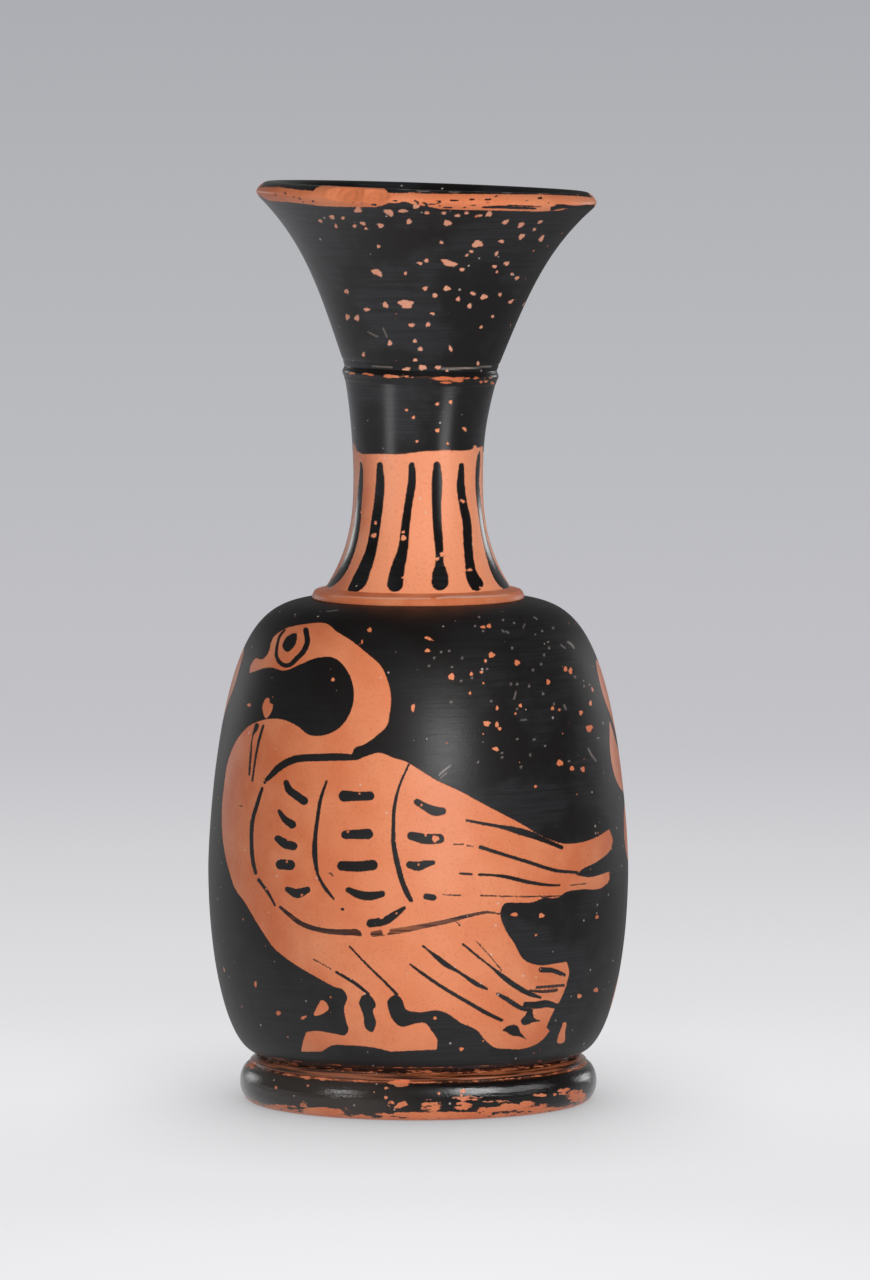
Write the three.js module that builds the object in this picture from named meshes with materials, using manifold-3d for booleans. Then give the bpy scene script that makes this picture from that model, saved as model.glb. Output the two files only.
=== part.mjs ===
// Miniature squat lekythos, a small oil flask in black-glossed red clay.
// The potter makes foot, body, neck, mouth and handle apart, lets them stiffen and joins them with wet clay,
// so each of them, and each clay joint, is a piece of its own here.
// Millimetres, +Z up. The foot stands on Z = 0, the painted front faces -Y and the handle is at the back.
import * as THREE from "three";
import { mergeVertices } from "three/addons/utils/BufferGeometryUtils.js";
import Module from "manifold-3d";

const wasm = await Module();
wasm.setup();

// Foot: a turned disc with a torus edge, a small step above it and a hollow underside
const footRadius = 21.3;
const footHeight = 5.5;
const footRestRadius = 19.9;
const footRestWidth = 4.4;
const footHollowDepth = 2.3;
const footHollowSlope = 2.6;
const footTorusHeight = 4.5;
const footStepRadius = 20.1;
const footGrooveDepth = 0.3;

// Clay joints: the layer between foot and body, and the clearance kept at cut and leaning faces
const lutingThickness = 0.4;
const lutingInset = 0.5;
const jointGap = 0.3;

// Body: full at the belly, drawn in to the foot, with a nearly flat shoulder and an opening for the neck
const bodyRadius = 25.05;
const bodyBaseRadius = 19.3;
const bodyHeight = 54.1;
const bellyRise = 21.9;
const shoulderSquareness = 7;
const shoulderRoundness = 1.5;
const bodyWall = 2.6;
const bodyFloor = 3.2;
const bodyOpeningRadius = 6.2;

// Neck: waisted, with a wide root on the shoulder and a bore
const neckHeight = 26;
const neckWaistRadius = 7.7;
const neckWaistRise = 14.5;
const neckRootRadius = 11;
const neckRootHeight = 1.3;
const neckTopRadius = 9;
const neckBoreRadius = 5.4;
const neckTopBoreRadius = 6.4;
const rootFlarePower = 2.6;
const topFlarePower = 2;

// Fillet: the raw clay smoothed round the root of the neck, hollow above and upright at its edge
const filletWidth = 1.7;
const filletHeight = 1.4;
const filletEdgeHeight = 0.8;
const filletHollowPower = 2;

// Mouth: a trumpet with a rounded lip, leaning to one side and a little back
const mouthHeight = 21.6;
const mouthRootRadius = 9.05;
const mouthFlareShare = 0.32;
const mouthFlarePower = 3.9;
const lipRadius = 20.2;
const lipWidth = 3.2;
const lipThickness = 2.5;
const mouthShift = 0.25;
const leanSideDegrees = 1.95;
const leanBackDegrees = 0.8;
const ridgeRadius = 9.3;
const ridgeHeight = 0.8;

// Chip: a flake lost from the front of the lip, left of the middle
const chipDegrees = 26.6;
const chipRadius = 9;
const chipDepth = 1.1;

// Handle: a strap that leaves the neck under the ridge, arches over and comes down on the shoulder
const handleWidth = 8.4;
const handleThickness = 4.2;
const handleTopDrop = 5.4;
const handleArchRise = 3;
const handleBow = 1.6;
const handleFallDrop = 8;
const handleRootInset = 8.05;
const handleSink = 3;
const handleRootWidth = 9.66;
const handleRootThickness = 4.83;
const handleRootPower = 4;
const collarSpread = 2;
const collarEdge = 0.55;
const collarLength = 3.4;

// Sides of the turned pieces and steps along their curves
const turnedSides = 40;
const curveSteps = 8;
const strapSides = 16;
const strapSteps = 16;

// Heights and radii that follow from the sizes above
const bodyBase = footHeight + lutingThickness;
const bellyZ = bodyBase + bellyRise;
const seatRadius = neckRootRadius + filletWidth;
const seatZ = bodyBase + bodyHeight;
const shoulderRise =
  (bodyHeight - bellyRise) / shoulderHeightShare(seatRadius / bodyRadius);
const neckWaistZ = seatZ + neckWaistRise;
const neckTopZ = seatZ + neckHeight;
const handleTopZ = neckTopZ - handleTopDrop;
const handleRootRadius = bodyRadius - handleRootInset;
const handleReach = handleRootRadius + handleBow;

const blackGloss = 0x1e1c1c;
const firedClay = 0xc67a52;

// Points of a curve at equal steps from 0 to 1
function curvePoints(steps, pointAt) {
  return Array.from({ length: steps + 1 }, (_, i) => pointAt(i / steps));
}

function profilePoint(radius, height) {
  return new THREE.Vector2(radius, height);
}

// A profile turned about the Z axis
function turned(profile) {
  return new THREE.LatheGeometry(profile, turnedSides).rotateX(Math.PI / 2);
}

function solidOf(geometry) {
  const bare = new THREE.BufferGeometry();
  bare.setAttribute("position", geometry.getAttribute("position"));
  bare.setIndex(geometry.index);
  const merged = mergeVertices(bare, 1e-3);
  return new wasm.Manifold(
    new wasm.Mesh({
      numProp: 3,
      vertProperties: merged.getAttribute("position").array,
      triVerts: new Uint32Array(merged.index.array),
    }),
  );
}

function geometryOf(solid) {
  const mesh = solid.getMesh();
  const geometry = new THREE.BufferGeometry();
  geometry.setAttribute(
    "position",
    new THREE.BufferAttribute(mesh.vertProperties, mesh.numProp),
  );
  geometry.setIndex(new THREE.BufferAttribute(mesh.triVerts, 1));
  geometry.computeVertexNormals();
  return geometry;
}

function piece(name, geometry, color, roughness) {
  const material = new THREE.MeshStandardMaterial({
    color,
    roughness,
    metalness: 0,
  });
  const mesh = new THREE.Mesh(geometry, material);
  mesh.name = name;
  return mesh;
}

// Height on the shoulder curve, as a share of its rise, at a radius given as a share of the belly's
function shoulderHeightShare(radiusShare) {
  return (1 - radiusShare ** shoulderSquareness) ** (1 / shoulderRoundness);
}

// Shoulder from the belly up to an end radius, evenly spread along its bend
function shoulderCurve(radius, rise, endRadius, steps) {
  const end = Math.acos((endRadius / radius) ** (shoulderSquareness / 2));
  return curvePoints(steps, (t) =>
    profilePoint(
      radius * Math.cos(t * end) ** (2 / shoulderSquareness),
      bellyZ + rise * Math.sin(t * end) ** (2 / shoulderRoundness),
    ),
  );
}

// Quarter ellipse from the base of the wall up to the belly
function lowerWall(baseRadius, radius, baseZ, steps) {
  return curvePoints(steps, (t) => {
    const turn = (t * Math.PI) / 2;
    return profilePoint(
      baseRadius + (radius - baseRadius) * Math.sin(turn),
      bellyZ - (bellyZ - baseZ) * Math.cos(turn),
    );
  });
}

function shoulderZ(radius) {
  return bellyZ + shoulderRise * shoulderHeightShare(radius / bodyRadius);
}

function neckRadiusAt(z) {
  if (z < neckWaistZ) {
    const share =
      (neckWaistZ - z) / (neckWaistZ - seatZ - neckRootHeight);
    const flare = neckRootRadius - neckWaistRadius;
    return neckWaistRadius + flare * share ** rootFlarePower;
  }
  const share = (z - neckWaistZ) / (neckTopZ - neckWaistZ);
  return (
    neckWaistRadius +
    (neckTopRadius - neckWaistRadius) * share ** topFlarePower
  );
}

// Trumpet curve of the mouth between two radii, straight at first and flaring towards the lip
function trumpet(rootRadius, endRadius, height, steps) {
  return curvePoints(steps, (t) =>
    profilePoint(
      rootRadius +
        (endRadius - rootRadius) *
          ((1 - mouthFlareShare) * t + mouthFlareShare * t ** mouthFlarePower),
      height * t,
    ),
  );
}

// A closed strap along a path, its oval section given at each share of the way
function strap(path, from, to, sizeAt) {
  const positions = [];
  const index = [];
  const across = new THREE.Vector3(1, 0, 0);
  for (let i = 0; i <= strapSteps; i += 1) {
    const share = from + ((to - from) * i) / strapSteps;
    const centre = path.getPointAt(share);
    const outward = new THREE.Vector3().crossVectors(across, path.getTangentAt(share));
    const size = sizeAt(share);
    for (let j = 0; j < strapSides; j += 1) {
      const turn = (2 * Math.PI * j) / strapSides;
      const corner = centre
        .clone()
        .addScaledVector(across, (size.width / 2) * Math.cos(turn))
        .addScaledVector(outward, (size.thickness / 2) * Math.sin(turn));
      positions.push(...corner.toArray());
    }
  }
  for (let i = 0; i < strapSteps; i += 1) {
    for (let j = 0; j < strapSides; j += 1) {
      const a = i * strapSides + j;
      const b = i * strapSides + ((j + 1) % strapSides);
      index.push(a, a + strapSides, b, b, a + strapSides, b + strapSides);
    }
  }
  const last = strapSteps * strapSides;
  for (let j = 1; j < strapSides - 1; j += 1) {
    index.push(0, j, j + 1, last, last + j + 1, last + j);
  }
  const geometry = new THREE.BufferGeometry();
  geometry.setAttribute(
    "position",
    new THREE.Float32BufferAttribute(positions, 3),
  );
  geometry.setIndex(index);
  return geometry;
}

function makeFoot() {
  const torusMiddle = footTorusHeight / 2;
  const torusDepth = footRadius - footRestRadius;
  const torus = curvePoints(curveSteps, (t) => {
    const turn = (t - 1 / 2) * Math.PI;
    return profilePoint(
      footRestRadius + torusDepth * Math.cos(turn),
      torusMiddle * (1 + Math.sin(turn)),
    );
  });
  const restInner = footRestRadius - footRestWidth;
  return turned([
    profilePoint(0, footHollowDepth),
    profilePoint(restInner - footHollowSlope, footHollowDepth),
    profilePoint(restInner, 0),
    ...torus,
    profilePoint(footStepRadius - footGrooveDepth, footTorusHeight),
    profilePoint(footStepRadius, footTorusHeight + footGrooveDepth),
    profilePoint(bodyBaseRadius, footHeight),
    profilePoint(0, footHeight),
  ]);
}

function makeFootLuting() {
  const radius = bodyBaseRadius - lutingInset;
  return turned([
    profilePoint(0, footHeight),
    profilePoint(radius, footHeight),
    profilePoint(radius, bodyBase),
    profilePoint(0, bodyBase),
  ]);
}

function makeBody() {
  const innerRadius = bodyRadius - bodyWall;
  const innerBaseRadius = bodyBaseRadius - bodyWall;
  const floorZ = bodyBase + bodyFloor;
  const innerShoulder = shoulderCurve(
    innerRadius,
    shoulderRise - bodyWall,
    bodyOpeningRadius,
    curveSteps,
  );
  const innerWall = lowerWall(
    innerBaseRadius,
    innerRadius,
    floorZ,
    curveSteps - 3,
  );
  return turned([
    profilePoint(0, bodyBase),
    ...lowerWall(bodyBaseRadius, bodyRadius, bodyBase, curveSteps),
    ...shoulderCurve(bodyRadius, shoulderRise, seatRadius, curveSteps + 5).slice(1),
    profilePoint(bodyOpeningRadius, seatZ),
    ...innerShoulder.reverse(),
    ...innerWall.reverse().slice(1),
    profilePoint(0, floorZ),
  ]);
}

function makeNeckFillet() {
  const rise = filletHeight - filletEdgeHeight;
  const hollow = curvePoints(curveSteps - 3, (t) =>
    profilePoint(
      seatRadius - filletWidth * t,
      seatZ + filletEdgeHeight + rise * t ** filletHollowPower,
    ),
  );
  const start = profilePoint(neckRootRadius, seatZ);
  return turned([start, profilePoint(seatRadius, seatZ), ...hollow, start.clone()]);
}

// Outside of the neck from its root up to a height, drawn wider by a margin
function neckOutside(endZ, margin) {
  const rootTopZ = seatZ + neckRootHeight;
  const heights = [
    ...curvePoints(curveSteps, (t) => rootTopZ + (neckWaistZ - rootTopZ) * t),
    ...curvePoints(curveSteps, (t) => neckWaistZ + (endZ - neckWaistZ) * t).slice(1),
  ];
  return [
    profilePoint(neckRootRadius + margin, seatZ),
    ...heights.map((z) => profilePoint(neckRadiusAt(z) + margin, z)),
  ];
}

function makeNeck(leaning) {
  const blankTopZ = neckTopZ + ridgeRadius / 2;
  const bore = curvePoints(curveSteps - 3, (t) => {
    const z = blankTopZ + (neckWaistZ - blankTopZ) * t;
    const widen = (neckTopBoreRadius - neckBoreRadius) * (1 - t) ** topFlarePower;
    return profilePoint(neckBoreRadius + widen, z);
  });
  const outside = neckOutside(blankTopZ, 0);
  const blank = solidOf(
    turned([
      ...outside,
      ...bore,
      profilePoint(bodyOpeningRadius, seatZ),
      outside[0].clone(),
    ]),
  );
  const side = 6 * neckTopRadius;
  const above = new THREE.BoxGeometry(side, side, side);
  above.translate(0, 0, side / 2);
  above.applyMatrix4(leaning.matrix);
  return geometryOf(blank.subtract(solidOf(above)));
}

function makeMouthLuting() {
  const middle = ridgeHeight / 2;
  const bead = curvePoints(curveSteps - 3, (t) => {
    const turn = (t - 1 / 2) * Math.PI;
    return profilePoint(
      ridgeRadius - middle + middle * Math.cos(turn),
      middle * (1 + Math.sin(turn)),
    );
  });
  const start = profilePoint(neckTopBoreRadius, 0);
  return turned([
    start,
    ...bead,
    profilePoint(neckTopBoreRadius, ridgeHeight),
    start.clone(),
  ]);
}

function makeMouth() {
  const lipMiddle = profilePoint(lipRadius - lipWidth / 2, mouthHeight - lipThickness / 2);
  const lipStart = -Math.PI / 4;
  const lipEnd = (5 * Math.PI) / 6;
  const lip = curvePoints(curveSteps, (t) => {
    const turn = lipStart + (lipEnd - lipStart) * t;
    return profilePoint(
      lipMiddle.x + (lipWidth / 2) * Math.cos(turn),
      lipMiddle.y + (lipThickness / 2) * Math.sin(turn),
    );
  });
  const under = lip[0];
  const inner = lip[lip.length - 1];
  const outside = trumpet(mouthRootRadius, under.x, under.y, curveSteps + 3);
  const inside = trumpet(neckTopBoreRadius, inner.x, inner.y, curveSteps);
  const whole = solidOf(
    turned([
      ...outside,
      ...lip.slice(1),
      ...inside.reverse().slice(1),
      outside[0].clone(),
    ]),
  );
  const flake = new THREE.SphereGeometry(chipRadius, 2 * curveSteps, curveSteps);
  const turn = THREE.MathUtils.degToRad(chipDegrees);
  const reach = lipRadius + chipRadius - chipDepth;
  flake.translate(
    -reach * Math.sin(turn),
    -reach * Math.cos(turn),
    mouthHeight - chipDepth,
  );
  return geometryOf(whole.subtract(solidOf(flake)));
}

function makeHandlePath() {
  return new THREE.CubicBezierCurve3(
    new THREE.Vector3(0, neckRadiusAt(handleTopZ) - handleSink, handleTopZ),
    new THREE.Vector3(0, handleReach, handleTopZ + handleArchRise),
    new THREE.Vector3(0, handleReach, handleTopZ - handleFallDrop),
    new THREE.Vector3(
      0,
      handleRootRadius,
      shoulderZ(handleRootRadius) - handleSink,
    ),
  );
}

// Body, fillet and neck as full solids, a clearance wider than they are, to trim what lands on them
function makeClearSolids() {
  const shoulder = shoulderCurve(
    bodyRadius + jointGap,
    shoulderRise + jointGap,
    neckWaistRadius,
    curveSteps + 5,
  );
  const body = turned([
    profilePoint(0, bellyZ),
    ...shoulder,
    profilePoint(0, shoulder[shoulder.length - 1].y),
  ]);
  const filletTopZ = seatZ + filletHeight + jointGap;
  const fillet = turned([
    profilePoint(0, seatZ),
    profilePoint(seatRadius + jointGap, seatZ),
    profilePoint(seatRadius + jointGap, seatZ + filletEdgeHeight + jointGap),
    profilePoint(neckRootRadius + jointGap, filletTopZ),
    profilePoint(0, filletTopZ),
  ]);
  const neck = turned([
    profilePoint(0, seatZ),
    ...neckOutside(neckTopZ, jointGap),
    profilePoint(0, neckTopZ),
  ]);
  return solidOf(body).add(solidOf(fillet)).add(solidOf(neck));
}

// Section of the strap, spread towards its two roots and drawn wider by a margin
function strapSize(share, margin) {
  const rootShare = (2 * share - 1) ** handleRootPower;
  const widening = (handleRootWidth - handleWidth) * rootShare;
  const thickening = (handleRootThickness - handleThickness) * rootShare;
  return {
    width: handleWidth + widening + 2 * margin,
    thickness: handleThickness + thickening + 2 * margin,
  };
}

function makeHandle(path, clear) {
  const whole = solidOf(strap(path, 0, 1, (share) => strapSize(share, 0)));
  return geometryOf(whole.subtract(clear));
}

// Clay collar thumbed round one root of the strap, thick at the wall and thin where it ends
function makeCollar(path, clear, rootShare, direction) {
  const length = path.getLength();
  const end = rootShare + (direction * (handleSink + collarLength)) / length;
  const spreadAt = (share) => {
    const past = Math.abs(share - rootShare) * length - handleSink;
    const left = 1 - Math.max(past, 0) / collarLength;
    return collarEdge + (collarSpread - collarEdge) * left ** 2;
  };
  const from = Math.min(rootShare, end);
  const to = Math.max(rootShare, end);
  const outside = strap(path, from, to, (share) => strapSize(share, spreadAt(share)));
  const passage = strap(path, 0, 1, (share) => strapSize(share, jointGap));
  return geometryOf(
    solidOf(outside).subtract(clear).subtract(solidOf(passage)),
  );
}

const lekythos = new THREE.Group();

const leaning = new THREE.Group();
leaning.position.set(mouthShift, 0, neckTopZ);
leaning.rotation.set(
  THREE.MathUtils.degToRad(-leanBackDegrees),
  THREE.MathUtils.degToRad(leanSideDegrees),
  0,
);
leaning.updateMatrix();

const mouthLuting = piece("mouth_luting", makeMouthLuting(), blackGloss, 0.5);
mouthLuting.position.z = jointGap;
const mouth = piece("mouth", makeMouth(), blackGloss, 0.35);
mouth.position.z = jointGap + ridgeHeight + jointGap;
leaning.add(mouthLuting, mouth);

const handlePath = makeHandlePath();
const clear = makeClearSolids();

lekythos.add(
  piece("foot", makeFoot(), blackGloss, 0.3),
  piece("foot_luting", makeFootLuting(), firedClay, 0.8),
  piece("body", makeBody(), blackGloss, 0.3),
  piece("neck_fillet", makeNeckFillet(), firedClay, 0.8),
  piece("neck", makeNeck(leaning), firedClay, 0.6),
  leaning,
  piece("handle", makeHandle(handlePath, clear), blackGloss, 0.35),
  piece("handle_top_luting", makeCollar(handlePath, clear, 0, 1), blackGloss, 0.4),
  piece("handle_root_luting", makeCollar(handlePath, clear, 1, -1), blackGloss, 0.4),
);

export default lekythos;
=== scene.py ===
"""Miniature squat lekythos in black-glossed red clay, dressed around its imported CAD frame.

Sizes are in millimetres and become metres when a mesh is made. The painted front faces -Y, as in the
photograph, and the handle is at the back. Paint on the front is placed by pixels of the photograph, and paint
on the back by millimetres round the wall.
"""
import logging
import math
from collections.abc import Callable
from dataclasses import dataclass, field
from enum import Enum
from functools import partial

import bpy
import numpy as np
from mathutils import Matrix, Vector


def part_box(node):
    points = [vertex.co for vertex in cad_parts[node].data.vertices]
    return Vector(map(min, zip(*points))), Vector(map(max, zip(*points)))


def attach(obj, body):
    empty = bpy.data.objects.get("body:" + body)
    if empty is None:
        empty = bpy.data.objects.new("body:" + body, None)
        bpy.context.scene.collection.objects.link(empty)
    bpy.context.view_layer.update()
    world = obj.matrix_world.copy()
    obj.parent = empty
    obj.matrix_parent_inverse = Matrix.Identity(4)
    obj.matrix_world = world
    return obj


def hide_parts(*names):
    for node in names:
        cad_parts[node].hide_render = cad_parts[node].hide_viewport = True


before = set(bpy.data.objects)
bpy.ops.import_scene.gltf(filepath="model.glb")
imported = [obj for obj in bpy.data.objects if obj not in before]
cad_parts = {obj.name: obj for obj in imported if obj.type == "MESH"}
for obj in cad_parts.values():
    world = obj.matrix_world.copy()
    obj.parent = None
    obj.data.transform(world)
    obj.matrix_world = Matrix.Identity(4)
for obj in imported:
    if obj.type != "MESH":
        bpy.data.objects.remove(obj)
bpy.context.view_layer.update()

log = logging.getLogger("lekythos")

Array = np.ndarray
Pair = tuple[float, float]
Points = tuple[tuple[float, ...], ...]
Runs = tuple[Points, ...]
Socket = bpy.types.NodeSocket
Thing = bpy.types.Object
Finish = bpy.types.Material

MM = 0.001
PAINT = ("cover", "fire", "wear", "dull", "bloom", "scuff", "grain")

# Paint, in mm: how far off an edge is still measured, how finely a shape is drawn, how near a brush stroke
# sets the slip's thickness and how softly scuffed marks and painted highlights end. UNSEEN is an angle for
# points that the view hides.
FAR = 3.0
DRAWING_STEP = 0.35
BRUSH_REACH = 0.1
SCUFF_EDGE = 0.12
UNSEEN = 999.0


class Slot(Enum):
    """The record's finishes that a piece can take."""

    BLACK_GLOSS = "black_gloss"
    FIRED_CLAY = "fired_clay"


class Reach(Enum):
    """What a light of the studio does: it lights the walls, or it is mirrored in the gloss."""

    WALL = "lights walls"
    GLOSS = "mirrored in gloss"


class Work(Enum):
    """What one step of the painting, or of the wear since, does to the wall."""

    BARE = "clay left or laid bare"
    GLOSS = "gloss brushed on"
    # This step also lays the painted highlight on the neck's clay bead.
    SCUFF = "scuffed pale"


def linear(colour: str) -> tuple[float, float, float, float]:
    """Turns an sRGB hex colour into the linear RGBA that a shader socket takes.

    Args:
        colour: the colour as it looks on a screen, such as "#C67A55".

    Returns:
        Red, green, blue and alpha.
    """
    parts = [int(colour[i:i + 2], 16) / 255 for i in (1, 3, 5)]
    light = [p / 12.92 if p <= 0.04045 else ((p + 0.055) / 1.055) ** 2.4 for p in parts]
    return (*light, 1.0)


def per_metre(size: float) -> float:
    """Scale of a pattern whose features are a size in millimetres apart."""
    return 1 / (size * MM)


def add_node(
    tree: bpy.types.NodeTree, kind: str, feeds: dict | tuple = (), out: int | str = 0, **settings: object
) -> Socket | None:
    """Adds one node, sets its options and feeds its inputs.

    Args:
        tree: the node tree that takes the node.
        kind: the node's type, without the "ShaderNode" that all types start with.
        feeds: a value, or the output to link, for inputs given by name or for the first ones in order.
        out: the output that is wanted.
        settings: the node's own options.

    Returns:
        That output, or nothing from a node that has none.
    """
    node = tree.nodes.new(f"ShaderNode{kind}")
    for name, value in settings.items():
        setattr(node, name, value)
    for name, value in feeds.items() if isinstance(feeds, dict) else enumerate(feeds):
        if isinstance(value, Socket):
            tree.links.new(value, node.inputs[name])
        else:
            node.inputs[name].default_value = value
    return node.outputs[out] if node.outputs else None


def empty_tree(owner: Finish | bpy.types.World) -> bpy.types.NodeTree:
    """Gives a new material or world a node tree with nothing in it.

    Args:
        owner: the material or world.

    Returns:
        The tree.
    """
    owner.use_nodes = True
    owner.node_tree.nodes.clear()
    return owner.node_tree


def smooth_line(points: Points, step: float) -> Array:
    """Draws a smooth line through given places.

    Args:
        points: rows that start with a place; what follows, such as a width, is carried along.
        step: greatest distance between neighbours on the drawn line.

    Returns:
        The drawn line's rows.
    """
    knots = np.array(points, float)
    gaps = np.linalg.norm(np.diff(knots[:, :2], axis=0), axis=1)
    slopes = np.diff(knots, axis=0) / gaps[:, None]
    share = (gaps[:-1] / (gaps[:-1] + gaps[1:]))[:, None]
    tangents = np.vstack([slopes[:1], slopes[:-1] * (1 - share) + slopes[1:] * share, slopes[-1:]])
    line = []
    for i, gap in enumerate(gaps):
        t = np.linspace(0, 1, math.ceil(gap / step) + 1)[:-1, None]
        line.append(
            (2 * t**3 - 3 * t**2 + 1) * knots[i]
            + (t**3 - 2 * t**2 + t) * gap * tangents[i]
            + (3 * t**2 - 2 * t**3) * knots[i + 1]
            + (t**3 - t**2) * gap * tangents[i + 1]
        )
    return np.vstack([*line, knots[-1:]])


def gap_to_segment(places: Array, start: Array, end: Array) -> tuple[Array, Array]:
    """Measures places against one straight stretch.

    Args:
        places: the places, one per row.
        start: the stretch's first end.
        end: its other end.

    Returns:
        Each place's distance, and the share of the way along at which it is nearest.
    """
    along = end - start
    share = np.clip((places - start) @ along / max(along @ along, 1e-12), 0, 1)
    return np.linalg.norm(places - start - share[:, None] * along, axis=1), share


@dataclass(frozen=True)
class Stroke:
    """One pull of the brush: places with the brush's width at each, and how thin the slip was."""

    points: Points
    thin: float = 0.0

    def box(self) -> tuple[Array, Array]:
        """Finds the box round the stroke.

        Returns:
            Its lowest and highest corner.
        """
        rows = np.array(self.points)
        reach = rows[:, 2].max() / 2
        return rows[:, :2].min(axis=0) - reach, rows[:, :2].max(axis=0) + reach

    def distance(self, places: Array, step: float) -> Array:
        """Signed distance of places to the stroke's edge.

        Args:
            places: the places, one per row.
            step: how finely the stroke is drawn.

        Returns:
            Distances, below zero inside the stroke.
        """
        nearest = np.full(len(places), np.inf)
        line = smooth_line(self.points, step)
        for start, end in zip(line[:-1], line[1:]):
            gap, share = gap_to_segment(places, start[:2], end[:2])
            nearest = np.minimum(nearest, gap - (start[2] + share * (end[2] - start[2])) / 2)
        return nearest


@dataclass(frozen=True)
class Outline:
    """A closed figure made of smooth runs that meet in corners, each run starting where the last one ends."""

    runs: Runs
    thin: float = 0.0

    def box(self) -> tuple[Array, Array]:
        """Lowest and highest corner of the figure."""
        rows = np.vstack([np.array(run) for run in self.runs])
        return rows.min(axis=0), rows.max(axis=0)

    def distance(self, places: Array, step: float) -> Array:
        """Signed distance of places to the figure's edge.

        Args:
            places: the places, one per row.
            step: how finely the edge is drawn.

        Returns:
            Distances, below zero inside the figure.
        """
        line = np.vstack([smooth_line(run, step)[:-1] for run in self.runs])
        nearest = np.full(len(places), np.inf)
        inside = np.zeros(len(places), bool)
        across, level = places.T
        for start, end in zip(line, np.roll(line, -1, axis=0)):
            nearest = np.minimum(nearest, gap_to_segment(places, start, end)[0])
            if start[1] != end[1]:
                crossing = start[0] + (level - start[1]) * (end[0] - start[0]) / (end[1] - start[1])
                inside ^= ((start[1] > level) != (end[1] > level)) & (across < crossing)
        return np.where(inside, -nearest, nearest)


@dataclass(frozen=True)
class Flake:
    """A small loss in the gloss, an oval about a place, tilted by degrees from level."""

    x: float
    y: float
    width: float
    height: float
    tilt: float = 0.0

    def box(self) -> tuple[Array, Array]:
        """Finds the box round the loss.

        Returns:
            Its lowest and highest corner.
        """
        centre = np.array([self.x, self.y])
        reach = max(self.width, self.height) / 2
        return centre - reach, centre + reach

    def distance(self, places: Array, step: float) -> Array:
        """Signed distance of places to the edge of the loss, which is a little uneven.

        Args:
            places: the places, one per row.
            step: not used; taken for likeness with the other shapes.

        Returns:
            Distances, below zero inside the loss.
        """
        turn = math.radians(self.tilt)
        off = places - np.array([self.x, self.y])
        along = (off[:, 0] * math.cos(turn) + off[:, 1] * math.sin(turn)) / (self.width / 2)
        across = (off[:, 1] * math.cos(turn) - off[:, 0] * math.sin(turn)) / (self.height / 2)
        turn = np.arctan2(across, along)
        uneven = 0.9 + 0.12 * np.sin(3 * turn + self.x) + 0.08 * np.sin(5 * turn + 2 * self.y)
        return (np.hypot(along, across) - uneven) * min(self.width, self.height) / 2


Shape = Stroke | Outline | Flake
Steps = list[tuple[Work, Shape]]


def losses(spots: Points) -> Steps:
    """Steps that lay clay bare in ovals, each given by place, width, height and, unless it is level, tilt."""
    return [(Work.BARE, Flake(*spot)) for spot in spots]


def mirror(run: Points, side: int) -> Stroke:
    """The stroke of a run drawn for the right half, or its mirror image where the side is -1."""
    return Stroke(tuple((side * across, level, wide) for across, level, wide in run))


@dataclass(frozen=True)
class PhotoView:
    """The photograph's camera: its place and target in mm, and the picture it makes."""

    place: tuple[float, float, float] = (2.0, -1150.0, 151.4)
    target: tuple[float, float, float] = (2.0, 0.0, 54.96)
    pixels_per_mm: float = 8.4
    width: int = 870
    height: int = 1280
    sensor: float = 36.0

    @property
    def focal_pixels(self) -> float:
        """Distance from lens to picture, in pixels."""
        return self.pixels_per_mm * math.dist(self.place, self.target)

    def project(self, points: Array) -> Array:
        """Finds where points land in the photograph.

        Args:
            points: places in mm, one per row.

        Returns:
            Pixels, right and down from the top left corner.
        """
        forward = np.subtract(self.target, self.place) / math.dist(self.place, self.target)
        right = np.array([1.0, 0.0, 0.0])
        up = np.cross(right, forward)
        rays = points - np.array(self.place)
        scale = self.focal_pixels / (rays @ forward)
        return np.stack([self.width / 2 + rays @ right * scale, self.height / 2 - rays @ up * scale], axis=1)

    def build(self) -> Thing:
        """Makes the camera and hands it to the scene.

        Returns:
            The camera's object.
        """
        lens = bpy.data.cameras.new("photo_camera")
        lens.sensor_fit = "VERTICAL"
        lens.sensor_height = self.sensor
        lens.lens = self.focal_pixels * self.sensor / self.height
        lens.clip_end = 50
        camera = bpy.data.objects.new("photo_camera", lens)
        aim = Vector(self.target) - Vector(self.place)
        camera.location = Vector(self.place) * MM
        camera.rotation_euler = aim.to_track_quat("-Z", "Y").to_euler()
        bpy.context.scene.collection.objects.link(camera)
        bpy.context.scene.camera = camera
        return camera


VIEW = PhotoView()


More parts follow.
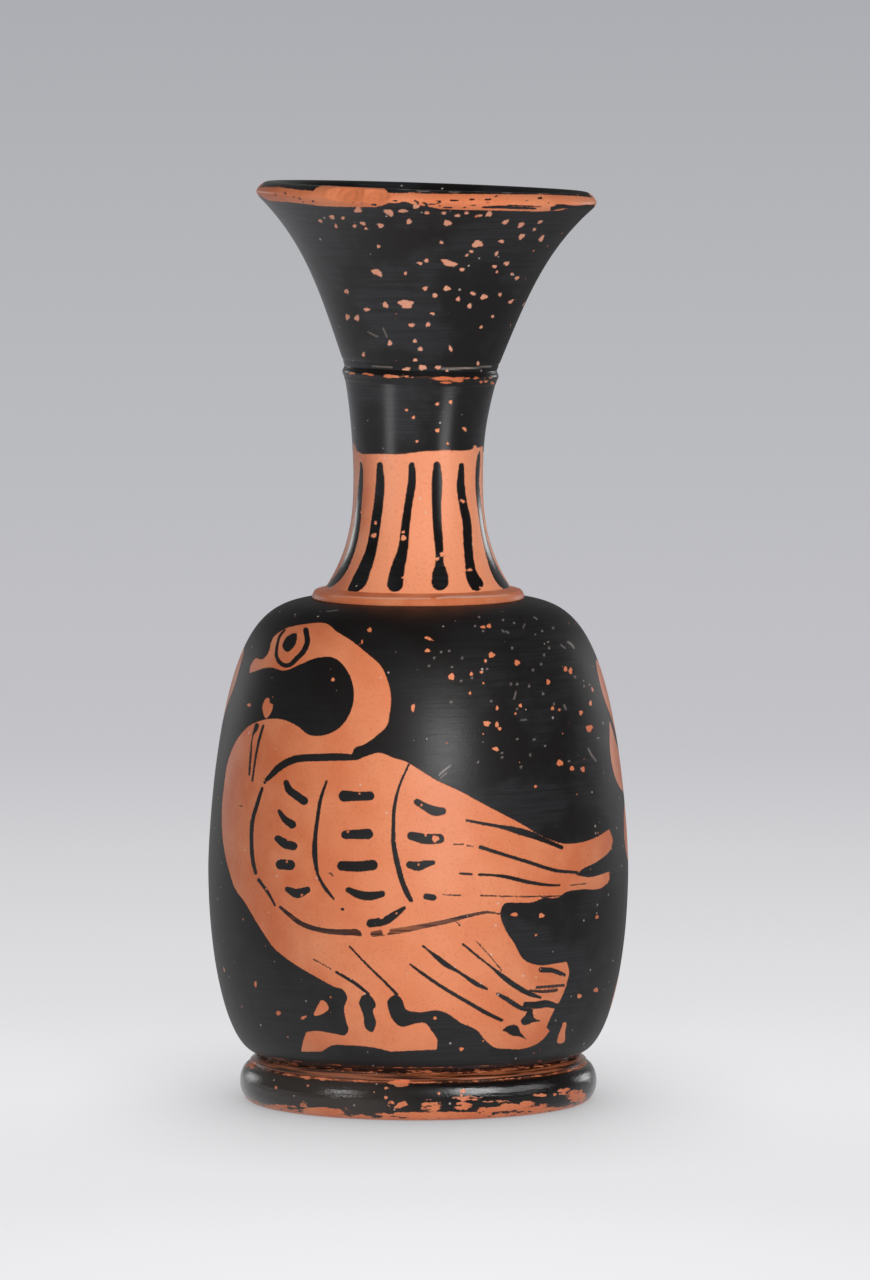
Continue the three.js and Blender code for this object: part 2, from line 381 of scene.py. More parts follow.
@dataclass
class Canvas:
    """The paint of one piece at its mesh points.

    cover is how far inside the gloss a point lies, in mm and below zero on clay. The others run from 0 to 1:
    fire is how brown the slip is and, on clay, how much paler it is as painted light; wear how
    much slip has worn off, dull how matt it is, bloom how grey, from dulled gloss and from painted
    reflection and sheen, and scuff how pale, from scuffing, specks and one painted highlight. grain
    is how coarse the gloss is, 1 on the body. touch is the distance to the nearest brush stroke.
    """

    points: Array
    cover: Array = field(init=False)
    fire: Array = field(init=False)
    wear: Array = field(init=False)
    dull: Array = field(init=False)
    bloom: Array = field(init=False)
    scuff: Array = field(init=False)
    grain: Array = field(init=False)
    touch: Array = field(init=False)

    def __post_init__(self) -> None:
        """Starts with gloss all over."""
        count = len(self.points)
        for label in PAINT:
            setattr(self, label, np.zeros(count))
        self.cover += FAR
        self.grain += 1
        self.touch = np.full(count, FAR)

    def bare(self, gap: Array) -> None:
        """Lays clay bare where a signed distance, one per point, is below zero."""
        self.cover = np.minimum(self.cover, gap)

    def lay(self, steps: Steps, chosen: Array, places: Array, unit: float) -> None:
        """Carries out painting steps in order.

        Args:
            steps: what is done, and the shape that it is done to.
            chosen: indices of the mesh points within reach.
            places: where those points lie in the shapes' own units.
            unit: millimetres in one of those units.
        """
        margin = FAR / unit
        for work, shape in steps:
            low, high = shape.box()
            near = np.flatnonzero(np.all((places > low - margin) & (places < high + margin), axis=1))
            gap = shape.distance(places[near], DRAWING_STEP / unit) * unit
            index = chosen[near]
            if work is Work.BARE:
                self.cover[index] = np.minimum(self.cover[index], gap)
                continue
            if work is Work.SCUFF:
                share = np.clip(0.5 - gap / SCUFF_EDGE, 0, 1) * shape.thin
                self.scuff[index] = np.maximum(self.scuff[index], share)
                continue
            self.cover[index] = np.maximum(self.cover[index], -gap)
            closer = (gap < self.touch[index]) & (gap < BRUSH_REACH)
            self.touch[index[closer]] = gap[closer]
            self.fire[index[closer]] = shape.thin

    def lay_front(self, steps: Steps, angles: Array, reach: float) -> None:
        """Carries out painting steps given in pixels of the photograph.

        Args:
            steps: what is done, and the shape that it is done to.
            angles: each point's angle from the front, in degrees.
            reach: the widest angle that the photograph shows well.
        """
        chosen = np.flatnonzero(np.abs(angles) < reach)
        self.lay(steps, chosen, VIEW.project(self.points[chosen]), 1 / VIEW.pixels_per_mm)

    def rub_front(self, spots: Points, angles: Array, reach: float) -> None:
        """Rubs the gloss about places given in pixels of the photograph.

        Args:
            spots: place, width, height and strength of each rubbed spot.
            angles: each point's angle from the front, in degrees.
            reach: the widest angle that the photograph shows well.
        """
        chosen = np.flatnonzero(np.abs(angles) < reach)
        across, level = VIEW.project(self.points[chosen]).T
        for x, y, width, height, strength in spots:
            off = ((across - x) / width * 2) ** 2 + ((level - y) / height * 2) ** 2
            self.wear[chosen] = np.maximum(self.wear[chosen], strength * np.exp(-(off**2) * 0.7))


def length_along(line: Array) -> Array:
    """Length of a line from its start to each of its points."""
    return np.concatenate([[0], np.cumsum(np.linalg.norm(np.diff(line, axis=0), axis=1))])


def trace(line: Array | list, spacing: float) -> Array:
    """Walks along a profile in even steps.

    Args:
        line: the profile's radius and height, one row per point.
        spacing: the step, in mm.

    Returns:
        The rows at those steps, both ends included.
    """
    line = np.asarray(line, float)
    length = length_along(line)
    stops = np.linspace(0, length[-1], max(1, round(length[-1] / spacing)) + 1)
    return np.column_stack([np.interp(stops, length, side) for side in line.T])


def join_rows(*stretches: Array) -> Array:
    """Joins stretches of a profile, dropping the row that two neighbours share."""
    return np.vstack([stretches[0], *[s[1:] for s in stretches[1:]]])


def ring_angles(radius: float, front: float, fine: float, coarse: float) -> Array:
    """Angles round a turned piece, close on the painted front and wider apart behind.

    Args:
        radius: the piece's radius, in mm.
        front: half of the closely drawn stretch, in degrees.
        fine: spacing there, in mm.
        coarse: spacing behind, in mm.

    Returns:
        Angles from the front towards the right, in radians.
    """
    turn = math.radians(front)
    near = np.linspace(-turn, turn, round(2 * turn * radius / fine) + 1)
    rest = 2 * math.pi - 2 * turn
    far = np.linspace(turn, turn + rest, round(rest * radius / coarse) + 1)[1:-1]
    return np.concatenate([near, far])


def turn_rows(rows: Array, angles: Array) -> Array:
    """Turns a profile about the Z axis.

    Args:
        rows: radius and height of each ring.
        angles: the angles of its points.

    Returns:
        Points as rings by angles by three.
    """
    radius, height = rows[:, :1], rows[:, 1:]
    level = np.broadcast_to(height, (len(rows), len(angles)))
    return np.stack([radius * np.sin(angles), -radius * np.cos(angles), level], axis=2)


def around(angles: Array, rings: int) -> Array:
    """Each mesh point's angle from the front in degrees, from -180 to 180, for a number of rings."""
    return np.tile((np.degrees(angles) + 180) % 360 - 180, rings)


def skin(name: str, rings: Array, canvas: Canvas, closed: bool) -> Thing:
    """Makes a mesh of rings of points, with its paint as point values and a map for baking.

    Args:
        name: the object's name.
        rings: points in mm as rings by points by three; a ring drawn to one place becomes a single point.
        canvas: the paint, one value per ring point.
        closed: whether the last ring joins the first.

    Returns:
        The new object.
    """
    count, sides = rings.shape[:2]
    flat = rings.reshape(-1, 3)
    index = np.arange(len(flat)).reshape(count, sides)
    pole = np.ptp(rings, axis=1).max(axis=1) < 1e-9
    index[pole] = index[pole][:, :1]
    used, first, new = np.unique(index, return_index=True, return_inverse=True)
    index = new.reshape(count, sides)
    faces, places = [], []
    for row in range(count if closed else count - 1):
        above = (row + 1) % count
        for side in range(sides):
            after = (side + 1) % sides
            corners = [(row, side), (row, after), (above, after), (above, side)]
            spots = [(side, row), (side + 1, row), (side + 1, row + 1), (side, row + 1)]
            if pole[row]:
                corners, spots = corners[1:], spots[1:]
            elif pole[above]:
                corners, spots = corners[:3], spots[:3]
            faces.append([int(index[c]) for c in corners])
            places.extend((u / sides, v / count) for u, v in spots)
    mesh = bpy.data.meshes.new(name)
    mesh.from_pydata((flat[used] * MM).tolist(), [], faces)
    mesh.uv_layers.new(name="OFBake").data.foreach_set("uv", np.array(places, np.float32).ravel())
    for label in PAINT:
        values = getattr(canvas, label)[used].astype(np.float32)
        mesh.attributes.new(label, "FLOAT", "POINT").data.foreach_set("value", values)
    mesh.shade_smooth()
    thing = bpy.data.objects.new(name, mesh)
    bpy.context.scene.collection.objects.link(thing)
    return thing


@dataclass(frozen=True)
class NodeBox:
    """The box of a CAD node, in mm."""

    low: Array
    high: Array

    @classmethod
    def of(cls, node: str) -> "NodeBox":
        """Reads a node's box from the frame."""
        low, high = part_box(node)
        return cls(np.array(low) / MM, np.array(high) / MM)

    @property
    def radius(self) -> float:
        """Radius of a turned node that stands upright."""
        return float(self.high[0])

    @property
    def bottom(self) -> float:
        """Height of its lowest point."""
        return float(self.low[2])

    @property
    def top(self) -> float:
        """Height of its highest point."""
        return float(self.high[2])


@dataclass(frozen=True)
class Wall:
    """What a finish is built on: the call that adds a node, the point on the wall and the paint there."""

    add: Callable[..., Socket]
    place: Socket
    paint: dict[str, Socket]

    @classmethod
    def of(cls, tree: bpy.types.NodeTree) -> "Wall":
        """Reads the point and its paint into a node tree.

        Args:
            tree: the material's tree.

        Returns:
            What the finish is built on.
        """
        add = partial(add_node, tree)
        paint = {label: add("Attribute", out="Fac", attribute_name=label) for label in PAINT}
        return cls(add, add("TexCoord", out="Object"), paint)


@dataclass(frozen=True)
class BlackGlossOnClay:
    """Fired clay under black gloss: a fine red clay, thrown, smoothed and burnished, then painted with a slip
    of the same clay that the kiln turns black.

    To the eye the clay is a warm orange, mottled and finely gritty, with a low polish; painted light makes it
    paler on its lit side, and a painted highlight runs along the neck's clay bead. The gloss is a thin,
    near-black skin with a soft, grainy sheen. It is brown where it was brushed thin, greyed in patches where
    the soil dulled it and where painted reflection and sheen are laid on, dusty with pale specks, and it
    flakes off in small spots that show the clay.
    """

    name: str = "black_gloss_on_fired_clay"
    black: str = "#13100F"
    grey: str = "#27282B"
    brown: str = "#3E1E12"
    wash: str = "#9A5737"
    clay: str = "#CB6C43"
    clay_pale: str = "#DA8860"
    clay_painted_light: str = "#F09468"
    clay_dark: str = "#9C4F31"
    # Pale colour of specks, scuffing and the painted highlight on the clay bead.
    dust_and_highlight: str = "#D6C6BC"
    ior: float = 1.43
    clay_roughness: float = 0.4
    gloss_roughness: float = 0.12
    dull_roughness: float = 0.6
    ragged: float = 0.14
    edge: float = 0.03
    grit: float = 0.3
    mottle: float = 5.0
    patch: float = 9.0
    wheel_line: float = 0.4
    wheel_length: float = 16.0
    wheel_depth: float = 0.014
    grain: float = 0.2
    gloss_grain: float = 0.007
    clay_grain: float = 0.014
    skin: float = 0.02
    streak: float = 0.24
    streak_length: float = 30.0
    rub: float = 0.34
    rub_length: float = 3.6
    losses: Points = ((2.3, 0.98, 0.7, 0.15), (0.85, 0.97, 0.6, 0.17))
    mote: float = 1.1

    def cover(self, wall: Wall) -> Socket:
        """Share of the wall that the gloss covers, after ragged edges, flakes and rubbing.

        Args:
            wall: what the finish is built on.

        Returns:
            The share, from 0 to 1.
        """
        add, paint = wall.add, wall.paint
        rough = add("TexNoise", {"Vector": wall.place, "Scale": per_metre(self.grit), "Detail": 3.0})
        edge = add("Math", (rough, self.ragged, paint["cover"]), operation="MULTIPLY_ADD")
        middle = self.ragged / 2
        share = add("MapRange", (edge, middle - self.edge, middle + self.edge, 0.0, 1.0))
        for size, rare, common, widest in self.losses:
            cell = add("TexVoronoi", {"Vector": wall.place, "Scale": per_metre(size)})
            lot = add("SeparateColor", (cell.node.outputs["Color"],))
            limit = add("MapRange", (paint["wear"], 0.0, 1.0, rare, common))
            wide = add("MapRange", (lot, limit, 1.0, 0.0, widest), clamp=False)
            uneven = add("Math", (rough, 0.16, cell), operation="MULTIPLY_ADD")
            past = add("Math", (uneven, wide), operation="SUBTRACT")
            kept = add("MapRange", (past, 0.06, 0.09, 0.0, 1.0))
            share = add("Math", (share, kept), operation="MULTIPLY")
        # Slip worn off where the wear noise runs high.
        long = 1 / self.rub_length
        drawn = add("Mapping", {"Vector": wall.place, "Scale": (long, long, 1)})
        fray = {"Vector": drawn, "Scale": per_metre(self.rub), "Detail": 6.0, "Roughness": 0.68}
        rubbed_and_sheen = add("Math", (add("TexNoise", fray), paint["wear"]), operation="ADD")
        left = add("MapRange", (rubbed_and_sheen, 1.02, 1.05, 1.0, 0.0))
        return add("Math", (share, left), operation="MULTIPLY")

    def clay_colour(self, wall: Wall) -> Socket:
        """Colour of the bare clay: mottled in the kiln, finely gritty, and paler where painted light is laid
        on.

        Args:
            wall: what the finish is built on.

        Returns:
            The colour.
        """
        add = wall.add
        cloud = add("TexNoise", {"Vector": wall.place, "Scale": per_metre(self.mottle), "Detail": 5.0})
        pale = add("MapRange", (cloud, 0.38, 0.7, 0.0, 1.0))
        mottled = add("Mix", {0: pale, 6: linear(self.clay), 7: linear(self.clay_pale)}, 2, data_type="RGBA")
        # Painted light: clay is mixed towards a paler orange where fire is high.
        fired = {0: wall.paint["fire"], 6: mottled, 7: linear(self.clay_painted_light)}
        grit = add("TexNoise", {"Vector": wall.place, "Scale": per_metre(self.grit), "Detail": 2.0})
        dark = add("MapRange", (grit, 0.54, 0.84, 0.0, 0.34))
        stained = {0: dark, 6: add("Mix", fired, 2, data_type="RGBA"), 7: linear(self.clay_dark)}
        return add("Mix", stained, 2, data_type="RGBA")

    def gloss_colour(self, wall: Wall) -> Socket:
        """Colour of the gloss: black, streaked brown and red where it is thin, and grey in dulled patches and
        in painted reflection and sheen.

        Args:
            wall: what the finish is built on.

        Returns:
            The colour.
        """
        add, paint = wall.add, wall.paint
        long = 1 / self.streak_length
        drawn = add("Mapping", {"Vector": wall.place, "Scale": (long, long, 1)})
        streak = add("TexNoise", {"Vector": drawn, "Scale": per_metre(self.streak), "Detail": 3.0})
        firing = add("MapRange", (streak, 0.36, 0.64, 0.35, 1.5))
        ramp = add("ValToRGB", (add("Math", (paint["fire"], firing), operation="MULTIPLY"),))
        stops = ramp.node.color_ramp.elements
        stops[0].color = linear(self.black)
        stops[1].color = linear(self.wash)
        stops.new(0.5).color = linear(self.brown)
        cloud = add("TexNoise", {"Vector": wall.place, "Scale": per_metre(self.patch), "Detail": 6.0})
        patches = add("MapRange", (cloud, 0.44, 0.53, 0.1, 1.0))
        turned = add("MapRange", (streak, 0.36, 0.64, 0.5, 1.3), clamp=False)
        lined = add("Math", (patches, turned), operation="MULTIPLY")
        # Greyer where bloom is high, which is partly painted reflection and sheen.
        bloom = add("Math", (lined, paint["bloom"]), operation="MULTIPLY")
        return add("Mix", {0: bloom, 6: ramp, 7: linear(self.grey)}, 2, data_type="RGBA")

    def pale_marks(self, wall: Wall) -> Socket:
        """Share of pale specks, scuffing and a painted highlight on the wall: scattered motes, and the marks
        that were painted.

        Args:
            wall: what the finish is built on.

        Returns:
            The share.
        """
        add = wall.add
        cell = add("TexVoronoi", {"Vector": wall.place, "Scale": per_metre(self.mote)})
        lot = add("SeparateColor", (cell.node.outputs["Color"],), 1)
        wide = add("MapRange", (lot, 0.78, 1.0, 0.0, 0.14), clamp=False)
        past = add("Math", (cell, wide), operation="SUBTRACT")
        mote = add("MapRange", (past, 0.0, 0.03, 0.5, 0.0))
        return add("Math", (mote, wall.paint["scuff"]), operation="MAXIMUM")

    def relief(self, wall: Wall, gloss: Socket) -> Socket:
        """Fine relief in mm: marks of the wheel, grain, and the step at the edge of the gloss.

        Args:
            wall: what the finish is built on.
            gloss: share of the wall that the gloss covers.

        Returns:
            The bent normal.
        """
        add = wall.add
        long = 1 / self.wheel_length
        drawn = add("Mapping", {"Vector": wall.place, "Scale": (long, long, 1)})
        lines = add("TexNoise", {"Vector": drawn, "Scale": per_metre(self.wheel_line), "Detail": 3.0})
        coarse_lines = add("Math", (wall.paint["grain"], self.wheel_depth), operation="MULTIPLY")
        wheel = add("Math", (lines, coarse_lines), operation="MULTIPLY")
        grain = add("TexNoise", {"Vector": wall.place, "Scale": per_metre(self.grain), "Detail": 2.0})
        coarse = add("MapRange", (gloss, 0.0, 1.0, self.clay_grain, self.gloss_grain))
        deep = add("Math", (coarse, wall.paint["grain"]), operation="MULTIPLY")
        rough = add("Math", (grain, deep, wheel), operation="MULTIPLY_ADD")
        height = add("Math", (gloss, self.skin, rough), operation="MULTIPLY_ADD")
        return add("Bump", {"Height": height, "Distance": MM, "Strength": 1.0})

    def material(self) -> Finish:
        """Puts gloss, clay and dust together.

        Returns:
            The material.
        """
        material = bpy.data.materials.new(self.name)
        wall = Wall.of(empty_tree(material))
        add = wall.add
        gloss = self.cover(wall)
        bare = {0: gloss, 6: self.clay_colour(wall), 7: self.gloss_colour(wall)}
        pale_marked = {0: self.pale_marks(wall), 6: add("Mix", bare, 2, data_type="RGBA"), 7: linear(self.dust_and_highlight)}
        sheen = add("MapRange", (wall.paint["dull"], 0.0, 1.0, self.gloss_roughness, self.dull_roughness))
        surface = add("BsdfPrincipled", {
            "Base Color": add("Mix", pale_marked, 2, data_type="RGBA"),
            "Roughness": add("MapRange", (gloss, 0.0, 1.0, self.clay_roughness, sheen)),
            "IOR": self.ior,
            "Normal": self.relief(wall, gloss),
        })
        add("OutputMaterial", {"Surface": surface})
        return material


class Goose:
    """The goose on the front, in pixels of the photograph: its outline, inner drawing and feathers."""

    # Runs from corner to corner: beak, crown and nape, back, two wing tips, rump, tail and its corner,
    # undertail with the front foot, sole, instep, back sole, back heel, and last the leg, belly and breast
    FIGURE: Runs = (
        ((249.2, 673.1), (249.9, 669.1), (252.3, 662), (255.8, 658.1)),
        ((255.8, 658.1), (262.9, 659.2), (266.4, 655.7), (269.2, 650.8), (271.6, 640.9), (274.2, 636.4),
         (279.1, 632.4), (286.2, 628.2), (294.6, 625.8), (305.9, 624), (317.2, 622.8), (325.7, 623.3),
         (336.9, 631.7), (351.7, 640.9), (368, 654.3), (380, 664.9), (388.4, 683.2), (391.1, 697.3),
         (389.8, 712.8), (387, 725.5), (377.8, 734.7), (365.1, 743.9), (353.6, 749.5), (352, 756)),
        ((352, 756), (356.7, 759.4), (365.1, 756.6), (380.7, 752.8), (392, 757.3), (405.3, 761.4),
         (418.5, 769.1), (435.4, 779.6), (459.4, 790.9), (486.2, 805.5), (517.2, 821.7), (548.2, 838.7),
         (563.7, 843.6), (580.7, 842.5), (599, 835.8), (609.2, 829.2)),
        ((609.2, 829.2), (612.7, 840.1), (609.6, 850.6), (597.6, 861.2), (580.7, 870.4), (576.4, 875.3)),
        ((576.4, 875.3), (589.1, 877.2), (604.6, 873.2), (609.2, 871.5)),
        ((609.2, 871.5), (609.2, 880.3), (601.8, 887.6), (580.7, 889.4), (565.1, 892.3), (558.1, 897.5),
         (542.6, 898.3), (534.1, 901.7), (517.2, 902.8), (504.5, 903.5), (500.3, 912.7), (503.8, 926.1),
         (514.4, 943.7), (525, 960.6), (536.9, 964.9), (558.1, 963.2), (566.6, 961.8)),
        ((566.6, 961.8), (569, 970.5), (566.8, 983.2), (560.9, 998.7), (553.9, 1010.7), (546.1, 1027.6)),
        ((546.1, 1027.6), (549.9, 1030.5)),
        ((549.9, 1030.5), (542.6, 1039.6), (522.8, 1048.8), (507.3, 1048.8), (494.6, 1047.4), (486.2, 1041),
         (476.3, 1029.8), (460.8, 1022.7), (447.4, 1013.5), (440.3, 1010.7), (418.5, 1012.1),
         (405.9, 1009.3), (401.6, 998.7), (396, 994.8), (387.5, 1000.8), (388.9, 1010.7), (392.5, 1019.2),
         (399.5, 1026.2), (416.4, 1023.4), (424.2, 1022.7), (431.9, 1031.2), (436.9, 1038.9),
         (436.9, 1049.5)),
        ((436.9, 1049.5), (391, 1051.6)),
        ((391, 1051.6), (376.9, 1048.1), (348.7, 1045.3), (330.4, 1046), (321.9, 1051.6)),
        ((321.9, 1051.6), (301.5, 1051.6)),
        ((301.5, 1051.6), (302.5, 1043.9), (306.4, 1031.9)),
        ((306.4, 1031.9), (313.5, 1030.9), (334.6, 1033.7), (345.9, 1034.7), (348.3, 1031.2),
         (345.9, 1019.9), (344.2, 1007.2), (347.3, 997.3), (343.8, 990.3), (334.6, 986.7), (316.3, 976.9),
         (289.5, 960.6), (275.4, 949.4), (261.3, 929.6), (243.9, 901), (235.4, 889.1), (229.7, 872.8),
         (223.4, 844.6), (221.7, 819.2), (224.1, 785.4), (228.3, 760), (238.9, 736.8), (250.9, 724.8),
         (263.6, 719.9), (280.5, 719.2), (297.4, 726.2), (308.7, 734.7), (321.4, 735.8), (336.9, 729.8),
         (349.6, 714.2), (353.9, 698.7), (352.5, 683.2), (345.4, 667.7), (334.1, 657.8), (317.2, 657.8),
         (300.3, 664.2), (284, 670.5), (270.6, 667.4), (249.2, 673.1)),
    )
    BETWEEN_LEGS: Points = (
        (358.6, 1003), (362.8, 995.2), (367.1, 994.2), (374.8, 1001.5), (376, 1006.5), (373.8, 1008.6),
        (376, 1024.1), (372, 1032.3), (365.7, 1028.3), (363.5, 1015.7), (358.6, 1003),
    )
    PUPIL: Points = (
        (296.7, 633.1), (293.2, 633.3), (283.3, 641.6), (282.2, 646.5), (287.6, 652.2), (291.8, 649.4),
        (297, 638.1), (296.7, 633.1),
    )
    TAIL_BARS: Runs = (
        ((529.9, 1010.7), (532.7, 1012.8), (534.1, 1017.8), (542.6, 1021), (534.1, 1022), (522.8, 1024.8),
         (520.7, 1020.6), (525, 1015.7), (527.1, 1011.4), (529.9, 1010.7)),
        ((501.7, 1030.5), (507.3, 1026.2), (517.2, 1025.5), (520.7, 1032.6), (527.1, 1040), (520, 1036.8),
         (511.6, 1035.4), (504.5, 1031.2), (501.7, 1030.5)),
    )
    EYE_RING: Points = (
        (305.9, 630, 5), (307.3, 642.3, 5), (303.8, 650.8, 5), (297.4, 657.8, 4.5), (286.9, 665.6, 4),
        (281.9, 664.2, 4), (278.4, 660.7, 3.5), (276.3, 655, 3), (277, 646.5, 2.5), (281.2, 633.9, 2),
        (284.8, 630.3, 1.7),
    )
    CHEST_LINES: Runs = (
        ((256.8, 725.5, 4), (256, 728.5, 4), (253.7, 733, 1.8), (250.9, 752.3, 1.7), (249.2, 774.8, 1.6)),
        ((263.3, 725.5, 1.8), (259.4, 738.9, 2.2), (256.5, 752.3, 1.7), (252.3, 781.2, 1.6)),
    )
    WING_EDGE: Runs = (
        ((356, 757.5, 5), (340, 757, 7), (320, 757.5, 7), (293, 760, 7), (285, 763.5, 7), (278, 768.5, 6.5),
         (271, 775.5, 5), (267, 779.5, 4)),
        ((264.3, 782.2, 2), (264.9, 783, 2)),
        ((262.2, 788.2, 2.5), (257.3, 803.7, 3.5), (252.3, 822.1, 3.5), (251.6, 843.2, 3.5),
         (253, 861.5, 3.5), (255.8, 873.3, 3)),
        ((258.7, 879.9, 3), (269.2, 894.7, 2.5), (274.9, 905.3, 1.8)),
    )
    WING_FOOT_DARK: Points = (
        (280.3, 907, 3), (286.7, 912.7, 4), (302.2, 924, 5), (320.5, 930, 5), (348.7, 932.4, 6),
        (357.9, 932.9, 6), (361, 935.5, 2),
    )
    WING_FOOT_BROWN: Points = (
        (373.4, 933.9, 6), (396.7, 931, 6), (423.5, 926.1, 5), (450.3, 920.5, 4.5), (470, 915.3, 3.5),
        (490.4, 912.4, 2.5), (499.6, 914.1, 1.7),
    )
    WING_BARS: Runs = (
        ((326.8, 780.9, 1.7), (320.7, 798.8, 3), (317.5, 819.2, 3.3), (315.1, 839, 4), (314.7, 850.3, 5),
         (316.1, 865.8, 3.8), (317.9, 874.2, 2.5), (326.4, 889.8, 3), (333.8, 898.9, 1.7)),
        ((408.6, 764.9, 1.7), (399.7, 785.4, 2), (394.5, 806.5, 3), (393.4, 830.5, 3.5), (393.4, 840.4, 4),
         (396.9, 861.5, 5), (403.2, 884.1, 5), (407.5, 894, 5), (411, 900.1, 4)),
    )
    FEATHER_DASHES: Runs = (
        ((286.2, 782.6, 5), (289, 789.6, 7), (296, 795.3, 7.5), (304, 800.9, 8)),
        ((279.1, 810.8, 3), (284.8, 819.2, 6), (292, 824.5, 8)),
        ((277.7, 838.5, 6), (284.8, 843.5, 9), (293.2, 846.2, 8)),
        ((281, 864.4, 10), (290, 865, 10)),
        ((287.6, 889.3, 5), (297.4, 893.5, 9), (307.3, 889.8, 6)),
        ((344.4, 796, 11), (355, 796.3, 9), (370, 796, 8.4)),
        ((345.4, 834.7, 8), (368, 834, 10)),
        ((342, 865.8, 9.4), (357, 866.5, 10), (372.6, 865.1, 10)),
        ((348.2, 889.8, 5), (359.5, 894.7, 8), (370.8, 896.1, 8), (382.1, 894, 6)),
        ((370.6, 923.3, 8), (385.4, 920.5, 8), (396.7, 913.4, 6), (404.4, 907.8, 3)),
        ((417.1, 802, 6), (425.5, 806.9, 7), (435.4, 811.2, 9), (442.4, 811.2, 7)),
        ((411.4, 835.8, 8), (424.1, 838.7, 10), (439.6, 838.7, 9)),
        ((410, 864.8, 7), (418.5, 866.2, 9), (425.5, 864, 7), (433.3, 862.6, 4)),
        ((426.2, 896.5, 5.5), (433.3, 897.5, 6)),
        ((342, 909, 2.6), (342.8, 909.4, 2.6)),
    )
    FLIGHT_FEATHERS: Runs = (
        ((466.4, 820.3, 2), (483.3, 823.6, 2.5), (494.6, 825.5, 2.7), (508.7, 828.5, 4.5),
         (520, 831.5, 6.5), (531.3, 835, 6), (548.2, 841.9, 4), (561.6, 847.5, 3.5)),
        ((480.5, 847.1, 3.5), (500.3, 853.5, 3), (529.9, 862.6, 3.2), (556.7, 870.7, 3),
         (577.1, 872.5, 2.5)),
        ((460.1, 873.5, 1.8), (472, 874.2, 1.8)),
        ((479.1, 874.6, 2), (491.8, 875.1, 2), (503.1, 876.3, 3), (529.9, 882.4, 3.3), (551, 885.2, 2.2),
         (559.5, 885.2, 1.7)),
    )
    LEG_LINES: Runs = (
        ((336, 971.9, 2), (355.8, 983.9, 3), (368.5, 993.8, 2.5)),
        ((349.7, 946.5, 1.6), (367.1, 964.9, 1.8), (388.2, 985.3, 2.2), (396.7, 994.2, 2.5)),
        ((410.1, 964.2, 1.7), (419.3, 971.2, 2.5), (441.8, 986.7, 3), (470, 1003.5, 3.3),
         (490.4, 1015, 3.5), (501.7, 1020.2, 3)),
        ((422.8, 945.8, 1.7), (429.8, 951.5, 2), (437.6, 957.8, 4.5), (444.6, 963.5, 5),
         (458.7, 971.9, 2.5), (479.1, 985.3, 4), (486.9, 988.9, 2)),
        ((497.4, 993.8, 2.5), (505.9, 998.7, 4), (522.8, 1008.6, 4), (531.3, 1010.7, 3)),
        ((462.9, 944, 1.7), (480.5, 958.5, 2), (490.4, 966.3, 1.7), (503.1, 976.9, 4.5), (511.6, 983.2, 5),
         (531.3, 994.5, 4), (540.5, 997.6, 2)),
    )
    TAIL_STROKES: Runs = (
        ((541.2, 969.8, 5), (552.5, 970.5, 4.5), (563.7, 974.8, 3.5)),
        ((525.7, 1004.4, 5), (536.9, 1005.1, 7), (546.8, 1003.7, 7), (556.7, 1006.5, 5)),
    )
    DILUTE_LINES: Runs = (
        ((476.3, 941.2, 1.6), (493.2, 959.9, 1.6), (501.7, 970.5, 1.7)),
        ((455.8, 921.2, 1.7), (460, 925.7, 1.7)),
        ((453.7, 844.3, 1.6), (463.6, 844.3, 1.6)),
        ((467.1, 845.3, 1.6), (473.5, 846.7, 1.6)),
        ((570.8, 885.2, 1.7), (586.3, 883.4, 1.6)),
        ((442.4, 894.4, 1.7), (460.8, 895.5, 1.7)),
        ((480.5, 895.5, 1.7), (517.2, 896.5, 1.7), (559.5, 896.1, 1.7)),
        ((313.5, 959.2, 1.6), (331.1, 969.1, 1.7)),
        ((536.9, 987.4, 3), (551, 986.3, 3), (563.7, 985.3, 3)),
        ((529.9, 990.3, 2.5), (541.2, 991.7, 3), (556.7, 990.3, 3)),
        ((329.9, 872.8, 2.3), (333, 875.5, 2.3)),
        ((238.5, 805.5, 1.7), (242.5, 806.3, 1.7)),
    )
    SPREAD = 0.5
    STRAY_CLAY: Runs = (
        ((320.5, 1000.4), (323.3, 1000.4), (328.3, 1009.3), (325.5, 1012.1), (314.2, 1015.7),
         (320.5, 1000.4)),
        ((563, 1022.7), (565.6, 1022), (565.1, 1031.2), (563.5, 1042.5), (558.8, 1043.6), (563, 1022.7)),
        ((267.1, 697.3), (269.2, 698.7), (269.9, 703), (273, 704.4), (272.8, 707.2), (265.7, 718.2),
         (262.5, 710), (263.9, 701.6), (267.1, 697.3)),
    )

    @classmethod
    def steps(cls) -> Steps:
        """Puts the painting in order: the figure left in clay, then the brushed lines.

        Returns:
            The painting steps.
        """
        bare = [Outline(cls.FIGURE), *[Outline((run,)) for run in cls.STRAY_CLAY]]
        filled = [Outline((run,)) for run in (cls.BETWEEN_LEGS, cls.PUPIL, *cls.TAIL_BARS)]
        black = (
            cls.EYE_RING, *cls.CHEST_LINES, *cls.WING_EDGE, *cls.WING_BARS, *cls.FEATHER_DASHES,
            *cls.FLIGHT_FEATHERS, *cls.LEG_LINES, *cls.TAIL_STROKES,
        )
        brushed = [Stroke(tuple((x, y, wide + cls.SPREAD) for x, y, wide in run)) for run in black]
        brushed += [Stroke(cls.WING_FOOT_DARK, 0.45), Stroke(cls.WING_FOOT_BROWN, 0.75)]
        brushed += [Stroke(run, 0.85) for run in cls.DILUTE_LINES]
        return [(Work.BARE, s) for s in bare] + [(Work.GLOSS, s) for s in filled + brushed]


